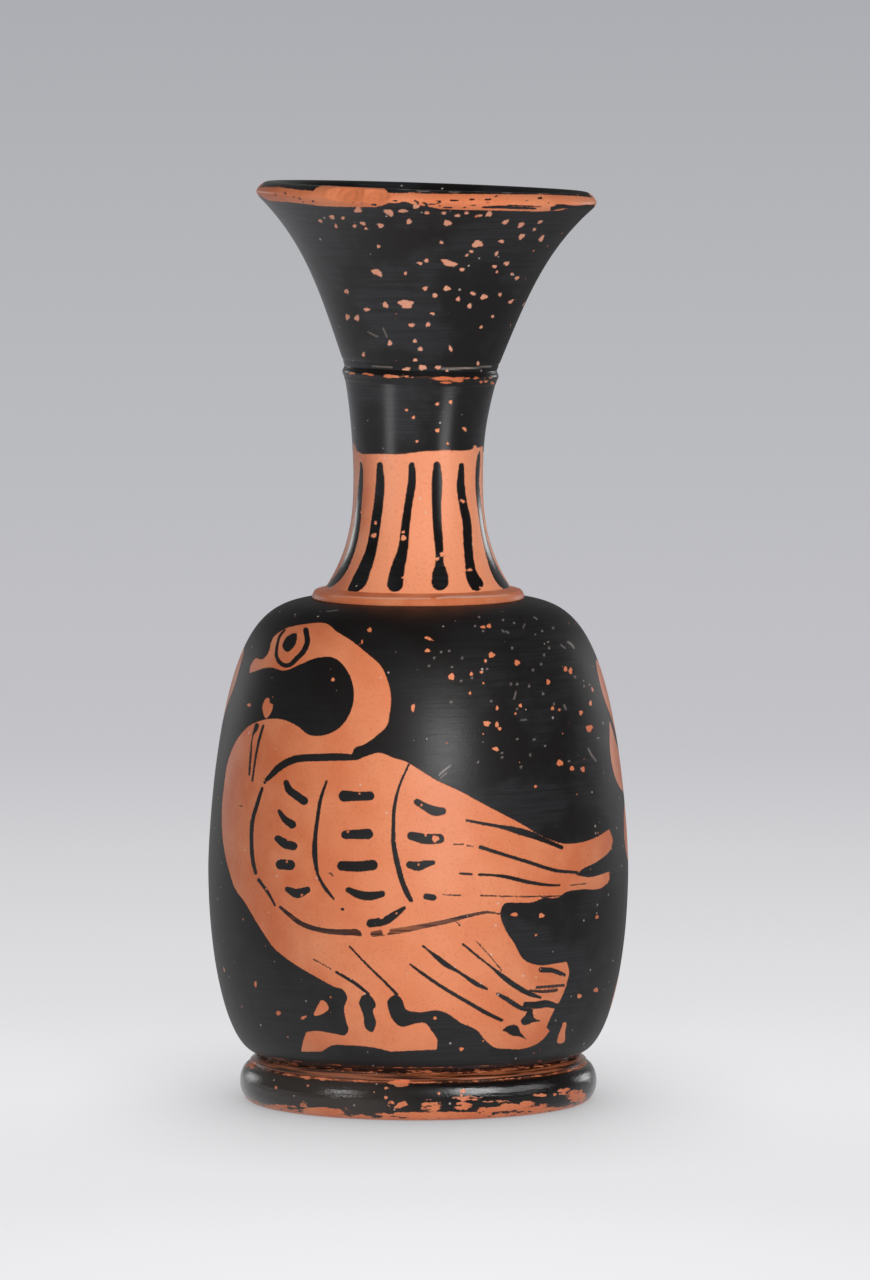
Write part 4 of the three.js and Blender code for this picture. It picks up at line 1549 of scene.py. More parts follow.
@dataclass
class Mouth(Piece):
    """The trumpet mouth with its rounded lip, chipped at the front."""

    name: str = "painted_mouth"
    node: str = "mouth"
    slot: Slot = Slot.BLACK_GLOSS
    closed: bool = True
    height: float = 21.6
    rise: float = 1.4
    root_radius: float = 9.05
    flare_share: float = 0.32
    flare_power: float = 3.9
    lip_radius: float = 20.2
    lip_width: float = 3.2
    lip_thickness: float = 2.5
    bore: float = 6.4
    lip_start: float = -45.0
    lip_end: float = 150.0
    lip_point: float = 0.4
    lip_drop: float = 0.04
    band_top: Points = (
        (256, 188), (265, 187), (280, 187.3), (290, 188.7), (300, 190), (313, 191), (395, 193),
        (430, 193.8), (500, 194.2), (540, 194.5), (560, 195.2), (580, 196.2), (590, 197.2), (598, 199),
    )
    band_foot: Points = (
        (256, 193), (262, 197), (270, 201), (290, 202.3), (305, 204), (320, 206), (345, 207), (375, 207),
        (383, 205.5), (388, 203), (410, 203.5), (430, 207), (440, 209), (470, 210), (500, 210.5),
        (520, 211), (535, 211.6), (550, 211), (560, 210.5), (575, 207), (590, 205), (598, 204),
    )
    back_band: Pair = (45.0, -24.0)
    fine: float = 0.17
    coarse: float = 0.45
    front: float = 82.0
    seen_to: float = 100.0
    flake_scuff: float = 0.26
    seat: float = 0.7
    incision: float = 0.09
    incision_height: float = 0.72
    chips: Points = ((-27.5, 30.0, 11.0, 0.7), (-18.5, 26.0, 6.5, 0.6))
    ripple: float = 0.045
    ripple_length: float = 0.75
    chip_clay: Outline = Outline((
        ((312, 196), (314, 190), (318, 187), (326, 185), (340, 184), (356, 183.6), (370, 184.2), (380, 186.4),
         (386, 190), (390, 197)),
        ((390, 197), (350, 202), (312, 196)),
    ))
    scratches: tuple[Stroke, ...] = (
        Stroke(((441, 368.6, 1), (452, 368.8, 1.3), (470, 368, 1), (491, 366.5, 0.8)), 0.5),
        Stroke(((372, 366.4, 0.8), (381, 366.6, 1), (392, 367.4, 0.8)), 0.25),
        Stroke(((368, 332, 0.8), (373, 334.5, 1), (378, 337, 0.8)), 0.3),
        Stroke(((383, 328, 0.8), (387, 337, 1)), 0.3),
        Stroke(((398, 188.6, 0.8), (406, 189.2, 1), (411, 189.2, 0.8)), 0.3),
        Stroke(((417, 190.6, 0.8), (423, 191.4, 1), (429, 191.2, 0.8)), 0.34),
        Stroke(((434, 189.4, 0.8), (440, 189.8, 1)), 0.26),
        Stroke(((449, 191.8, 0.8), (455, 192.2, 1), (459, 192, 0.8)), 0.3),
        Stroke(((474, 191, 0.8), (480, 191.4, 0.9)), 0.24),
        Stroke(((503, 192.6, 0.8), (511, 193, 1)), 0.24),
    )
    lip_ink: Runs = (
        ((482, 207.4, 1.6), (500, 207, 3), (520, 208, 2.4), (536, 208.6, 1.6)),
        ((552, 208.6, 4), (562, 206.6, 4), (575, 207.4, 3.4), (588, 205.6, 2.4)),
        ((450, 200.4, 1.5), (458, 200.5, 1.6)),
        ((538.6, 198.2, 2.2), (541, 198, 2.6)),
        ((470, 199.6, 1.4), (473.4, 199.4, 2)),
        ((485, 199.6, 1.4), (490.4, 199.4, 1.8)),
        ((388, 203.4, 1.6), (396, 203.6, 1.2), (405, 202.6, 1.8), (411, 204, 1.4)),
        ((414, 200.6, 1.6), (418, 202.6, 2.2), (416, 206, 1.8)),
        ((423, 202.4, 2), (427, 205, 2.4), (424, 208, 2.4)),
        ((430, 204, 1.4), (434, 204.4, 1.4)),
        ((439, 205.2, 1.4), (440, 205.6, 1.4)),
        ((463, 207.4, 1.2), (466, 207.4, 1.2)),
        ((497, 195.8, 1.6), (496, 196.4, 2)),
        ((284.8, 192.6, 1.8), (285.6, 193.6, 2)),
        ((312.4, 200.8, 1.6), (313.6, 201.6, 1.8)),
        ((302.6, 202, 1.2), (303.2, 202.2, 1.2)),
        ((326, 192, 1), (330, 196, 1.3), (335, 201, 1.2)),
        ((352, 203.4, 0.8), (361, 197, 1.2), (373, 190.6, 0.9)),
        ((361, 203, 0.8), (369, 197.6, 1.1), (377, 193, 0.8)),
        ((275, 194.4, 1.2), (276, 195.2, 1.2)),
        ((293, 196.4, 1.1), (294.4, 197.4, 1.2)),
        ((299, 198.2, 1.2), (301, 199.2, 1.4)),
        ((371, 204.4, 1.6), (376, 204.8, 1.8)),
        ((393, 200.6, 1.2), (397, 200.8, 1.3)),
        ((402, 205.8, 1.2), (408, 206, 1.6)),
        ((419, 205.6, 1.6), (421, 208, 1.6)),
        ((436, 200.6, 1.2), (441, 201.6, 1.6), (437, 203.4, 1.3)),
        ((444, 207.2, 1.2), (452, 207.6, 1.4)),
        ((470, 205.4, 1), (476, 205.2, 1.2)),
        ((508, 205.2, 1.2), (524, 206, 1.4), (541, 206.4, 1.1)),
        ((486, 203, 0.9), (489, 202.6, 1)),
        ((526, 200.6, 1), (528, 200.4, 1.1)),
        ((556, 205, 1.4), (566, 204.6, 1.3)),
        ((547, 203, 1), (549, 203, 1.2)),
    )
    flakes: Points = (
        (332, 217, 6, 4, 25), (343, 218, 4, 3.6), (320.5, 221, 5, 3, 35), (336, 226, 5, 3, 60),
        (354.5, 226, 4, 3.6), (363, 223.5, 6, 3.4, 20), (366, 228.5, 3.6, 2.6, 30),
        (380.5, 225.5, 7, 4.6, 20), (409, 221.5, 5.4, 6), (378.5, 246.5, 4, 3.6), (420, 263.5, 6, 3, 20),
        (426.5, 260.5, 4.6, 4.6), (377, 272.5, 13, 6, 24), (405.5, 273.5, 3, 4), (425, 288.5, 5.4, 4.4),
        (346.5, 291.5, 5.4, 4.4, 30), (358, 210, 8, 6), (389, 212.5, 11, 6, 28), (403, 211, 11, 3.4),
        (416, 206.5, 7, 5), (427, 213, 5.4, 3.6), (447.5, 223, 8.6, 6), (441.5, 242.5, 4.6, 3.2, 20),
        (477.5, 244, 12, 7.4, -8), (505.5, 222, 8, 4, -25), (521, 225, 8.4, 4.6, -40),
        (521.5, 236.5, 7.4, 5, -40), (541.5, 238.5, 8, 4, -60), (540, 222, 6, 3, -30),
        (534.5, 229.5, 3.6, 3), (501.5, 241.5, 6, 3.6, 15), (471.5, 251.5, 4.4, 3, 25),
        (467, 255, 4.4, 2.6, -30), (496.5, 253.5, 5.4, 3, -65), (449, 263, 18, 6, 18), (462, 269.5, 5, 3.8),
        (494.5, 266.5, 5.4, 3.6, 25), (506.5, 263.5, 6, 4.4), (497, 272, 3, 3), (512, 274, 3, 3),
        (517, 278, 5, 3.6, -20), (447, 288.5, 8, 5), (435, 295.5, 5.4, 4.6), (473, 293.5, 6, 3.2, 20),
        (484, 297, 8, 5, -15), (500, 294.5, 3.4, 4.4), (458, 299, 4.4, 4.8), (457.5, 215.5, 6, 3.2),
        (444, 213, 5, 3.4), (480, 215.5, 5, 2.8), (489, 214, 7, 5.4, -20), (466.5, 213, 5, 3),
        (385.5, 305, 7.4, 4.8, 50), (367, 309.5, 7, 3.6), (347.5, 317, 4.6, 6), (357, 318, 5.4, 6),
        (406, 304, 16, 9, 10), (411.5, 325, 7, 4.2), (428, 324.5, 4.8, 4.8), (432.5, 313.5, 5, 2.8, 15),
        (469.5, 306, 4.4, 5), (511, 301.5, 7, 3, -35), (524.5, 304.5, 5, 3, -60), (492.5, 316.5, 3.2, 2.8),
        (481, 327, 4, 2.8, -50), (415, 341, 4.2, 3.8), (420.5, 349, 4.8, 4.6), (390, 343, 4.6, 6),
        (450.5, 348.5, 7, 3, 70), (415, 360, 5, 3.2), (363.5, 354.5, 3.4, 4.6), (406.5, 369.5, 9, 4.4, -8),
        (422.5, 367.5, 8.6, 5.6), (438, 367.5, 7, 3.6), (447, 371.5, 3.2, 4.8), (478, 363.5, 2.8, 4.4),
    )

    def trumpet(self, root: float, end: float, height: float) -> Array:
        """Profile that runs straight at first and flares towards the lip.

        Args:
            root: radius at the bottom.
            end: radius at the top.
            height: height of the top.

        Returns:
            Radius and height, one row per point.
        """
        t = np.linspace(0, 1, 300)
        flare = (1 - self.flare_share) * t + self.flare_share * t**self.flare_power
        return np.stack([root + (end - root) * flare, height * t], axis=1)

    def profile(self) -> tuple[Array, Array]:
        """Rings from the root up the outside, over the lip and down the inside.

        Returns:
            Radius and height of each ring, and its angle round the lip's section in degrees.
        """
        turn = np.radians(np.linspace(self.lip_start, self.lip_end, 200))
        sharp = np.sin(turn) * np.abs(np.sin(turn)) ** self.lip_point
        lip = np.column_stack([
            self.lip_radius - self.lip_width / 2 * (1 - np.cos(turn)),
            self.height - self.lip_drop - self.lip_thickness / 2 * (1 - sharp),
        ])
        wall = np.vstack([[self.root_radius - 0.02, -self.seat], self.trumpet(self.root_radius, *lip[0])])
        wall[:, 0] -= self.incision * np.exp(-(((wall[:, 1] - self.incision_height) / 0.13) ** 2))
        outside = trace(wall, self.fine)
        over = trace(lip, self.fine * 0.8)
        inside = trace(self.trumpet(self.bore, *lip[-1])[::-1], 0.7)
        floor = trace([inside[-1], outside[0]], 0.8)[:-1]
        rows = join_rows(outside, over, inside, floor)
        section = np.full(len(rows), 270.0)
        section[: len(outside)] = -90.0
        first = len(outside) - 1
        section[first : first + len(over)] = np.linspace(self.lip_start, self.lip_end, len(over))
        return rows, section

    def chip(self, rings: Array) -> Array:
        """Breaks shell-shaped flakes off the lip: points inside a ball move out to its skin.

        Args:
            rings: the mouth's points before it leans, which are moved.

        Returns:
            How far each point was moved, one value per ring point.
        """
        lost = np.zeros(rings.shape[:2])
        for degrees, steep, ball, depth in self.chips:
            turn, tip = (math.radians(degrees), math.radians(steep))
            out = np.array([math.sin(turn), -math.cos(turn), 0.0])
            wide, thick = self.lip_width / 2, self.lip_thickness / 2
            lip = out * (self.lip_radius - wide) + np.array([0, 0, self.height - thick])
            away = out * math.cos(tip) + np.array([0, 0, math.sin(tip)])
            skin_reach = math.hypot(wide * math.cos(tip), thick * math.sin(tip))
            centre = lip + away * (skin_reach + ball - depth)
            off = rings - centre
            reach = np.linalg.norm(off, axis=2)
            move = np.clip(ball - reach, 0, None)
            lost = np.maximum(lost, move)
            shell = np.linalg.norm(rings - lip - out, axis=2) / self.ripple_length
            move += self.ripple * np.sin(2 * math.pi * shell) * np.clip(move / 0.3, 0, 1)
            rings += off * (move / reach)[:, :, None]
        return lost

    def lip_band(self, canvas: Canvas, degrees: Array, section: Array) -> Array:
        """Signed distance to the band of bare clay round the lip.

        Args:
            canvas: the mouth's paint.
            degrees: each point's angle from the front.
            section: each point's angle round the lip's section.

        Returns:
            Distances in mm, below zero inside the band.
        """
        high, low = self.back_band
        wander = 4 * np.sin(np.radians(degrees) * 7) + 3 * np.sin(np.radians(degrees) * 17 + 1)
        band = np.abs(section + wander - (high + low) / 2) - (high - low) / 2
        band = np.radians(band) * (self.lip_width + self.lip_thickness) / 4
        front = np.flatnonzero((np.abs(degrees) < self.front) & (section < self.seen_to))
        across, level = VIEW.project(canvas.points[front]).T
        top = np.interp(across, *np.array(self.band_top).T)
        foot = np.interp(across, *np.array(self.band_foot).T)
        band[front] = np.maximum(top - level, level - foot) / VIEW.pixels_per_mm
        return band

    def make(self) -> Made:
        """Shapes and paints the mouth.

        Returns:
            The rings and their paint.
        """
        rows, section = self.profile()
        angles = ring_angles((self.root_radius + self.lip_radius) / 2, self.front, self.fine, self.coarse)
        rings = turn_rows(rows, angles)
        lost = self.chip(rings).ravel()
        rings = LEAN.apply(rings + np.array([0, 0, self.rise]))
        canvas = Canvas(rings.reshape(-1, 3))
        degrees = around(angles, len(rows))
        section = np.repeat(section, len(angles))
        canvas.bare(self.lip_band(canvas, degrees, section))
        edge = np.exp(-((canvas.cover / 0.35) ** 2)) * (section > 0)
        outer = np.where(section < self.seen_to, degrees, UNSEEN)
        canvas.lay_front([(Work.GLOSS, Stroke(run)) for run in self.lip_ink], outer, self.front)
        painted = canvas.cover > 0
        canvas.lay_front(losses(self.flakes), outer, self.front)
        canvas.scuff[painted & (canvas.cover < 0)] = self.flake_scuff
        scratches = [(Work.SCUFF, scratch) for scratch in self.scratches]
        canvas.lay_front([*scratches, (Work.BARE, self.chip_clay)], outer, self.front)
        canvas.bare(0.1 - lost)
        canvas.wear = 0.05 + 0.2 * (np.abs(degrees) > self.front) + 0.4 * edge
        inside = section > self.lip_end
        right = np.sin(np.radians(degrees))
        canvas.grain[:] = 1.5
        canvas.dull = np.where(inside, 0.7, 0.72 + 0.26 * right)
        # Gloss is greyer inside the mouth and towards the left, as painted reflection, on top of its dulled
        # patches.
        canvas.bloom = np.where(inside, 0.6, 0.72 - 0.16 * right)
        # Lip clay is paler to the right and darker to the left, as painted light and shade.
        canvas.fire = np.where(canvas.cover < 0, 0.34 + 0.24 * right, canvas.fire)
        return rings, canvas


@dataclass
class Foot(Piece):
    """The turned disc foot: torus, stepped edge and hollow underside."""

    name: str = "turned_foot"
    node: str = "foot"
    slot: Slot = Slot.BLACK_GLOSS
    closed: bool = False
    rest_radius: float = 19.9
    rest_width: float = 4.4
    hollow: float = 2.3
    slope: float = 2.6
    torus_height: float = 4.5
    step_radius: float = 20.1
    groove: float = 0.3
    top_radius: float = 19.3
    fine: float = 0.13
    around_step: float = 0.2
    front: float = 86.0
    worn_edge: float = 0.12
    # Spots where the slip is worn off: place, width and height in pixels, and strength.
    rubbed_and_sheen: Points = (
        (250, 1064, 18, 12, 0.6), (275, 1107, 54, 7, 0.62), (322, 1112, 50, 11, 0.78),
        (303, 1104, 12, 9, 0.6), (348, 1108, 14, 8, 0.5), (400, 1115, 16, 6, 0.66),
        (391, 1104, 12, 8, 0.56), (430, 1106, 30, 15, 0.6), (462, 1106, 26, 12, 0.62),
        (468, 1098, 46, 7, 0.56), (490, 1110, 46, 8, 0.64), (510, 1107, 30, 10, 0.68),
        (527, 1104, 22, 8, 0.66), (543, 1105, 18, 5, 0.64), (577, 1096, 26, 18, 0.64),
        (563, 1092, 18, 8, 0.58), (440, 1115, 150, 8, 0.72), (540, 1109, 90, 5, 0.72),
        (540, 1095, 20, 5, 0.56), (500, 1102, 50, 6, 0.5),
    )
    flakes: Points = (
        (400, 1083, 22, 8, 0), (306, 1077.5, 11, 3.6, 8), (323, 1079, 9, 3.4, 4), (401, 1105, 15, 6, -22),
        (386, 1088, 4, 3), (386, 1097.5, 4, 4), (439, 1093.5, 3, 3.4), (465, 1105.5, 8, 5),
        (463, 1091, 6, 5), (542, 1095, 7, 3.4), (535, 1095, 3, 3), (555, 1094.5, 4, 3),
        (276, 1087.5, 3, 4, -30), (308, 1085.5, 3, 2.4), (566, 1090, 9, 4, -20),
    )

    def make(self) -> Made:
        """Shapes and paints the foot.

        Returns:
            The rings and their paint.
        """
        box = NodeBox.of(self.node)
        turn = np.linspace(-math.pi / 2, math.pi / 2, 120)
        middle = self.torus_height / 2
        torus = np.column_stack([
            self.rest_radius + (box.radius - self.rest_radius) * np.cos(turn),
            middle * (1 + np.sin(turn)),
        ])
        rest_inner = self.rest_radius - self.rest_width
        edge = np.array([
            torus[-1],
            [self.step_radius - self.groove, self.torus_height],
            [self.step_radius, self.torus_height + self.groove],
            [self.top_radius, box.top],
        ])
        rows = join_rows(
            trace([[0, self.hollow], [rest_inner - self.slope, self.hollow]], 3),
            trace([[rest_inner - self.slope, self.hollow], [rest_inner, 0]], 0.5),
            trace([[rest_inner, 0], [self.rest_radius, 0]], 0.6),
            trace(torus, self.fine),
            trace(edge, 0.1),
            trace([edge[-1], [0, box.top]], 4),
        )
        angles = ring_angles(box.radius, 90, self.around_step, self.around_step)
        rings = turn_rows(rows, angles)
        canvas = Canvas(rings.reshape(-1, 3))
        level = canvas.points[:, 2]
        radius = np.hypot(canvas.points[:, 0], canvas.points[:, 1])
        canvas.bare(np.maximum(level - 0.05, radius - self.rest_radius + 0.6))
        upper = np.clip((level - self.torus_height + 0.2) / 0.15, 0, 1) * (radius > self.top_radius - 1)
        canvas.fire = 0.74 * upper + 0.16 * np.clip(1 - level / 1.6, 0, 1)
        edges = (self.torus_height, box.top)
        edge_wear = sum(np.exp(-(((level - edge) / self.worn_edge) ** 2)) for edge in edges)
        low_wear = np.clip(1 - level / 1.4, 0, 1)
        canvas.wear = 0.26 + 0.26 * edge_wear + 0.45 * low_wear
        degrees = around(angles, len(rows))
        canvas.dull = 0.45 * np.exp(-(((degrees + 1) / 11) ** 4))
        canvas.grain[:] = 4.0
        canvas.scuff = 0.05 * np.clip(-3 * np.sin(np.radians(degrees)), 0, 1)
        canvas.rub_front(self.rubbed_and_sheen, degrees, self.front)
        canvas.lay_front(losses(self.flakes), degrees, self.front)
        return rings, canvas


@dataclass
class FootJoint(Piece):
    """The layer of slip between foot and body."""

    name: str = "foot_slip_joint"
    node: str = "foot_luting"
    slot: Slot = Slot.FIRED_CLAY
    closed: bool = False
    bulge: float = 0.12

    def make(self) -> Made:
        """Shapes and paints the layer.

        Returns:
            The rings and their paint.
        """
        box = NodeBox.of(self.node)
        turn = np.linspace(-math.pi / 2, math.pi / 2, 9)
        middle = (box.bottom + box.top) / 2
        half = (box.top - box.bottom) / 2
        side = np.column_stack([
            box.radius - self.bulge * (1 - np.cos(turn)),
            middle + half * np.sin(turn),
        ])
        rows = join_rows(
            trace([[0, box.bottom], side[0]], 4), side, trace([side[-1], [0, box.top]], 4)
        )
        angles = ring_angles(box.radius, 90, 0.5, 0.5)
        rings = turn_rows(rows, angles)
        canvas = Canvas(rings.reshape(-1, 3))
        canvas.fire[:] = 0.5
        canvas.wear[:] = 0.48
        return rings, canvas


@dataclass
class Handle(Piece):
    """The strap handle at the back, from the neck down to the shoulder."""

    name: str = "strap_handle"
    node: str = "handle"
    slot: Slot = Slot.BLACK_GLOSS
    closed: bool = False
    width: float = 8.4
    thickness: float = 4.2
    top_drop: float = 5.4
    arch: float = 3.0
    reach: float = 18.6
    fall: float = 8.0
    root_radius: float = 17.0
    sink: float = 1.3
    root_spread: float = 1.15
    edge_power: float = 0.75
    face_power: float = 0.9
    groove_depth: float = 0.35
    groove_width: float = 0.35
    neck_radius: float = 8.07
    neck_top: float = 86.0
    shoulder_height: float = 59.0
    steps: int = 150
    sides: int = 72

    def path(self) -> Array:
        """Draws the middle line of the strap from neck to shoulder.

        Returns:
            Places out from the axis and up.
        """
        top = self.neck_top - self.top_drop
        knots = np.array([
            [self.neck_radius - self.sink, top],
            [self.reach, top + self.arch],
            [self.reach, top - self.fall],
            [self.root_radius, self.shoulder_height - self.sink],
        ])
        t = np.linspace(0, 1, 400)[:, None]
        curve = sum(math.comb(3, k) * (1 - t) ** (3 - k) * t**k * knot for k, knot in enumerate(knots))
        return trace(curve, length_along(curve)[-1] / self.steps)

    def sweep(self, first: int, last: int, margin: Array) -> Array:
        """Sweeps the strap's section along part of its path.

        Args:
            first: the step that it starts from.
            last: the step that it ends on.
            margin: how much wider than the strap each step is drawn, in mm.

        Returns:
            Rings, with one drawn to a point at each end.
        """
        line = self.path()
        along = np.gradient(line, axis=0)
        along /= np.linalg.norm(along, axis=1)[:, None]
        share = np.linspace(-1, 1, self.steps + 1)
        spread = 1 + (self.root_spread - 1) * share**4
        turn = np.linspace(0, 2 * math.pi, self.sides, endpoint=False)
        cos, sin = (np.cos(turn), np.sin(turn))
        flat = np.sign(cos) * np.abs(cos) ** self.edge_power
        full = np.sign(sin) * np.abs(sin) ** self.face_power
        groove = self.groove_depth * np.exp(-((flat / self.groove_width) ** 2)) * np.clip(sin, 0, None)
        rings = []
        for i in range(first, last + 1):
            half_wide = self.width / 2 * spread[i] + margin[i]
            half_thick = self.thickness / 2 * spread[i] + margin[i]
            out = np.array([-along[i, 1], along[i, 0]])
            lift = half_thick * full - groove * (1 - abs(share[i]) ** 2)
            across = line[i][None, :] + lift[:, None] * out
            rings.append(np.stack([half_wide * flat, across[:, 0], across[:, 1]], axis=1))
        ends = [np.broadcast_to(ring.mean(axis=0), ring.shape) for ring in (rings[0], rings[-1])]
        return np.stack([ends[0], *rings, ends[1]])

    def make(self) -> Made:
        """Shapes and paints the strap.

        Returns:
            The rings and their paint.
        """
        rings = self.sweep(0, self.steps, np.zeros(self.steps + 1))
        canvas = Canvas(rings.reshape(-1, 3))
        canvas.wear[:] = 0.22
        canvas.dull[:] = 0.35
        canvas.bloom[:] = 0.3
        return rings[::-1], canvas


@dataclass
class HandleCollar(Piece):
    """Clay thumbed round one root of the handle, running out along the strap."""

    name: str = "handle_top_collar"
    node: str = "handle_top_luting"
    slot: Slot = Slot.BLACK_GLOSS
    closed: bool = False
    spread: float = 1.7
    length: float = 4.6
    taper: float = 2.2
    runout: float = 0.06
    at_neck: bool = True
    handle: Handle = field(default_factory=Handle)

    def make(self) -> Made:
        """Shapes and paints the collar.

        Returns:
            The rings and their paint.
        """
        handle = self.handle
        line = handle.path()
        run = length_along(line)
        from_root = run if self.at_neck else run[-1] - run
        reach = handle.sink + self.length
        left = np.clip(1 - np.clip(from_root - handle.sink, 0, None) / self.length, 0, 1)
        margin = -self.runout + (self.spread + self.runout) * left**self.taper
        inside = np.flatnonzero(from_root <= reach)
        rings = handle.sweep(int(inside[0]), int(inside[-1]), margin)
        canvas = Canvas(rings.reshape(-1, 3))
        canvas.wear[:] = 0.22
        canvas.dull[:] = 0.35
        canvas.bloom[:] = 0.3
        return rings[::-1], canvas


@dataclass(frozen=True)
class SoftBox:
    """A soft light: where it stands seen from the flask, its size, its share of full daylight and its reach.

    A light with a piece named in only is flagged off the rest, as a photographer does with a black card.
    """

    name: str
    azimuth: float
    elevation: float
    distance: float
    width: float
    height: float
    level: float
    reach: Reach
    only: str = ""

    def build(self, middle: Vector) -> Thing:
        """Makes the light, turned to the flask.

        Args:
            middle: the point that it is turned to, in metres.

        Returns:
            The light's object.
        """
        lamp = bpy.data.lights.new(self.name, "AREA")
        lamp.shape = "RECTANGLE"
        lamp.size = self.width * MM
        lamp.size_y = self.height * MM
        lamp.energy = math.pi**2 * (self.distance * MM) ** 2 * self.level
        turn, rise = (math.radians(self.azimuth), math.radians(self.elevation))
        back = Vector((math.sin(turn) * math.cos(rise), -math.cos(turn) * math.cos(rise), math.sin(rise)))
        light = bpy.data.objects.new(self.name, lamp)
        light.visible_camera = False
        light.visible_diffuse = self.reach is Reach.WALL
        light.visible_glossy = self.reach is Reach.GLOSS
        if self.only:
            lit = bpy.data.collections.new(f"{self.name}_lights")
            lit.objects.link(bpy.data.objects[self.only])
            light.light_linking.receiver_collection = lit
        light.location = middle + back * self.distance * MM
        light.rotation_euler = (-back).to_track_quat("-Z", "Y").to_euler()
        bpy.context.scene.collection.objects.link(light)
        return light


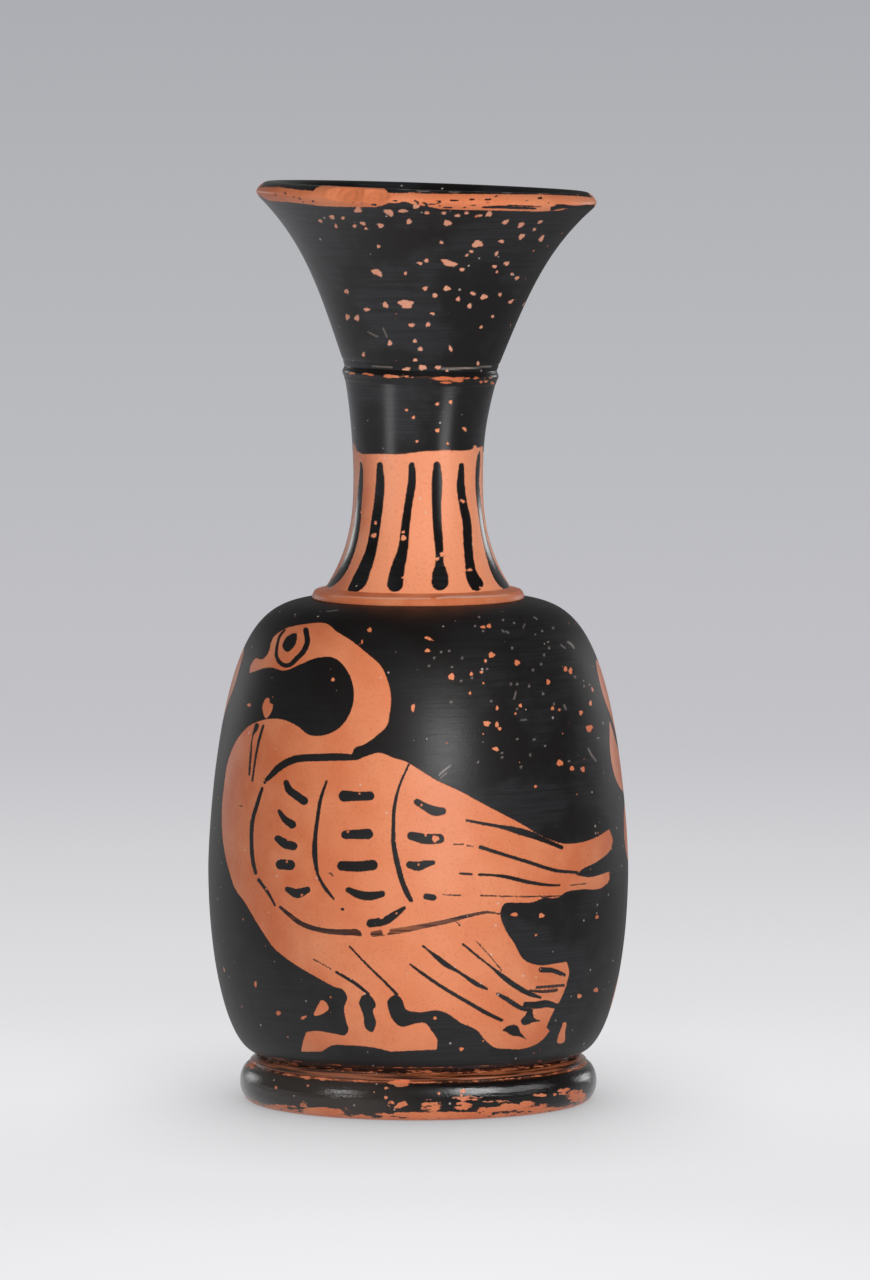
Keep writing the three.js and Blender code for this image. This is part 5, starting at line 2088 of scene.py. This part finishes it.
@dataclass
class Studio:
    """Pale paper under the flask, soft boxes round it and a dim room that is paler behind."""

    paper: str = "#E9E9EB"
    reach: float = 9000.0
    half_way: float = 500.0
    tones: tuple[tuple[float, str], ...] = (
        (0.0, "#F8F8FA"), (0.08, "#F4F4F6"), (0.13, "#EEEEF0"), (0.18, "#EEEEF0"), (0.24, "#F1F1F3"),
        (0.287, "#EEEEF0"), (0.335, "#E7E7E9"), (0.38, "#E3E3E6"), (0.424, "#DBDBDE"), (0.465, "#D4D4D7"),
        (0.504, "#CBCBCF"), (0.542, "#C4C4C8"), (0.577, "#C1C1C6"), (0.643, "#BFBFC4"), (0.76, "#B9BABE"),
        (0.86, "#B3B4B8"), (0.935, "#ADAEB3"),
    )
    bright_spot: tuple[float, float, float] = (0.0, -150.0, 0.0)
    glow_near: float = 0.85
    glow_far: float = 1.0
    fade: Pair = (300.0, 700.0)
    shade_reach: float = 48.0
    shade_sides: Pair = (18.0, 44.0)
    shade: float = 0.5
    shade_from: float = 0.4
    mirrored: Pair = (0.8, 0.4)
    mirrored_sides: Pair = (-50.0, 120.0)
    room_front: float = 0.09
    room_back: float = 0.36
    boxes: tuple[SoftBox, ...] = (
        SoftBox("key_box", 9, 20, 900, 600, 500, 0.92, Reach.WALL),
        SoftBox("window_box", 14, 13, 900, 380, 290, 0.34, Reach.GLOSS, "painted_body"),
        SoftBox("right_foot_box", 42, 30, 800, 400, 420, 1.1, Reach.GLOSS, "turned_foot"),
        SoftBox("side_foot_box", 78, 22, 800, 420, 300, 0.22, Reach.GLOSS, "turned_foot"),
        SoftBox("left_foot_box", -52, 18, 800, 200, 300, 0.2, Reach.GLOSS, "turned_foot"),
        SoftBox("right_neck_box", 46, 0, 180, 52, 100, 0.2, Reach.GLOSS, "painted_neck"),
        SoftBox("left_neck_box", -50, 0, 180, 46, 100, 0.13, Reach.GLOSS, "painted_neck"),
        SoftBox("back_box", 180, 16, 1000, 700, 400, 0.45, Reach.WALL),
        SoftBox("back_right_box", 140, 5, 1000, 240, 200, 0.06, Reach.GLOSS),
        SoftBox("back_left_box", -140, 5, 1000, 240, 200, 0.05, Reach.GLOSS),
        SoftBox("right_fill", 130, 12, 1000, 500, 500, 0.12, Reach.WALL),
        SoftBox("left_fill", -130, 12, 1000, 500, 500, 0.1, Reach.WALL),
    )

    def floor(self) -> Thing:
        """Makes the paper floor.

        Returns:
            The floor's object.
        """
        angles = np.linspace(0, 2 * math.pi, 96, endpoint=False)
        rows = np.array([[0, 0]] + [[r, 0] for r in (60, 120, 240, 500, 1000, 2500, self.reach)], float)
        rings = turn_rows(rows, angles)
        thing = skin("paper_floor", rings, Canvas(rings.reshape(-1, 3)), False)
        thing.data.materials.append(self.paper_material())
        return thing

    def paper_material(self) -> Finish:
        """Makes matt studio paper, which keeps the flask's shadow and looks paler near it than far off.

        Returns:
            The material.
        """
        material = bpy.data.materials.new("matt_studio_paper")
        add = partial(add_node, empty_tree(material))
        spot = Vector(self.bright_spot) * MM
        place = add("TexCoord", out="Object")
        away = add("VectorMath", (place, spot), "Value", operation="DISTANCE")
        past = add("Math", (away, self.half_way * MM), operation="ADD")
        ramp = add("ValToRGB", (add("Math", (away, past), operation="DIVIDE"),))
        stops = ramp.node.color_ramp.elements
        stops[0].color = linear(self.tones[0][1])
        stops[1].position = self.tones[-1][0]
        stops[1].color = linear(self.tones[-1][1])
        for at, tone in self.tones[1:-1]:
            stops.new(at).color = linear(tone)
        path = add("LightPath").node.outputs
        side = add("SeparateXYZ", (place,), "X")
        left, right = (reach * MM for reach in self.mirrored_sides)
        mirrored = add("MapRange", (side, left, right, *self.mirrored))
        lit = add("MapRange", (away, self.fade[0] * MM, self.fade[1] * MM, self.glow_near, self.glow_far))
        glow = add("Math", (path["Is Camera Ray"], lit), operation="MULTIPLY")
        glowing = add("Math", (glow, path["Is Glossy Ray"]), operation="ADD")
        matt = add("BsdfDiffuse", (linear(self.paper),))
        near = add("AmbientOcclusion", {"Distance": self.shade_reach * MM}, "AO", samples=8)
        beside = add("Math", (side,), operation="ABSOLUTE")
        first, last = (reach * MM for reach in self.shade_sides)
        darkest = add("MapRange", (beside, first, last, self.shade, 1.0))
        shaded = add("MapRange", (near, self.shade_from, 1.0, darkest, 1.0))
        strength = add("Mix", {0: path["Is Glossy Ray"], 2: shaded, 3: mirrored})
        ground = add("MixShader", (glowing, matt, add("Emission", (ramp, strength))))
        add("OutputMaterial", (ground,))
        return material

    def room(self) -> None:
        """Lights the room dimly, paler behind the flask, and shows the far paper's grey to the camera."""
        world = bpy.data.worlds.new("studio_room")
        add = partial(add_node, empty_tree(world))
        way = add("SeparateXYZ", (add("TexCoord", out="Generated"),)).node.outputs
        back = add("Math", (way["Y"], way["Z"]), operation="SUBTRACT")
        level = add("MapRange", (back, -0.1, 0.9, self.room_front, self.room_back))
        dim = add("Background", {"Strength": level})
        far = add("Background", (linear(self.tones[-1][1]),))
        seen = add("LightPath", out="Is Camera Ray")
        add("OutputWorld", (add("MixShader", (seen, dim, far)),))
        bpy.context.scene.world = world

    def build(self) -> None:
        """Sets up floor, room and lights."""
        self.floor()
        self.room()
        middle = Vector(VIEW.target) * MM
        for box in self.boxes:
            box.build(middle)


def main() -> None:
    """Builds camera, pieces and studio in order."""
    logging.basicConfig(level=logging.INFO, format="%(message)s")
    bpy.context.scene.view_settings.view_transform = "Standard"
    VIEW.build()
    finish = BlackGlossOnClay().material()
    root_collar = HandleCollar("handle_root_collar", "handle_root_luting", at_neck=False)
    pieces = (
        Foot(), FootJoint(), Body(), NeckFillet(), Neck(), MouthRidge(), Mouth(),
        Handle(), HandleCollar(), root_collar,
    )
    for piece in pieces:
        piece.build(finish)
    Studio().build()


if __name__ == "__main__":
    main()
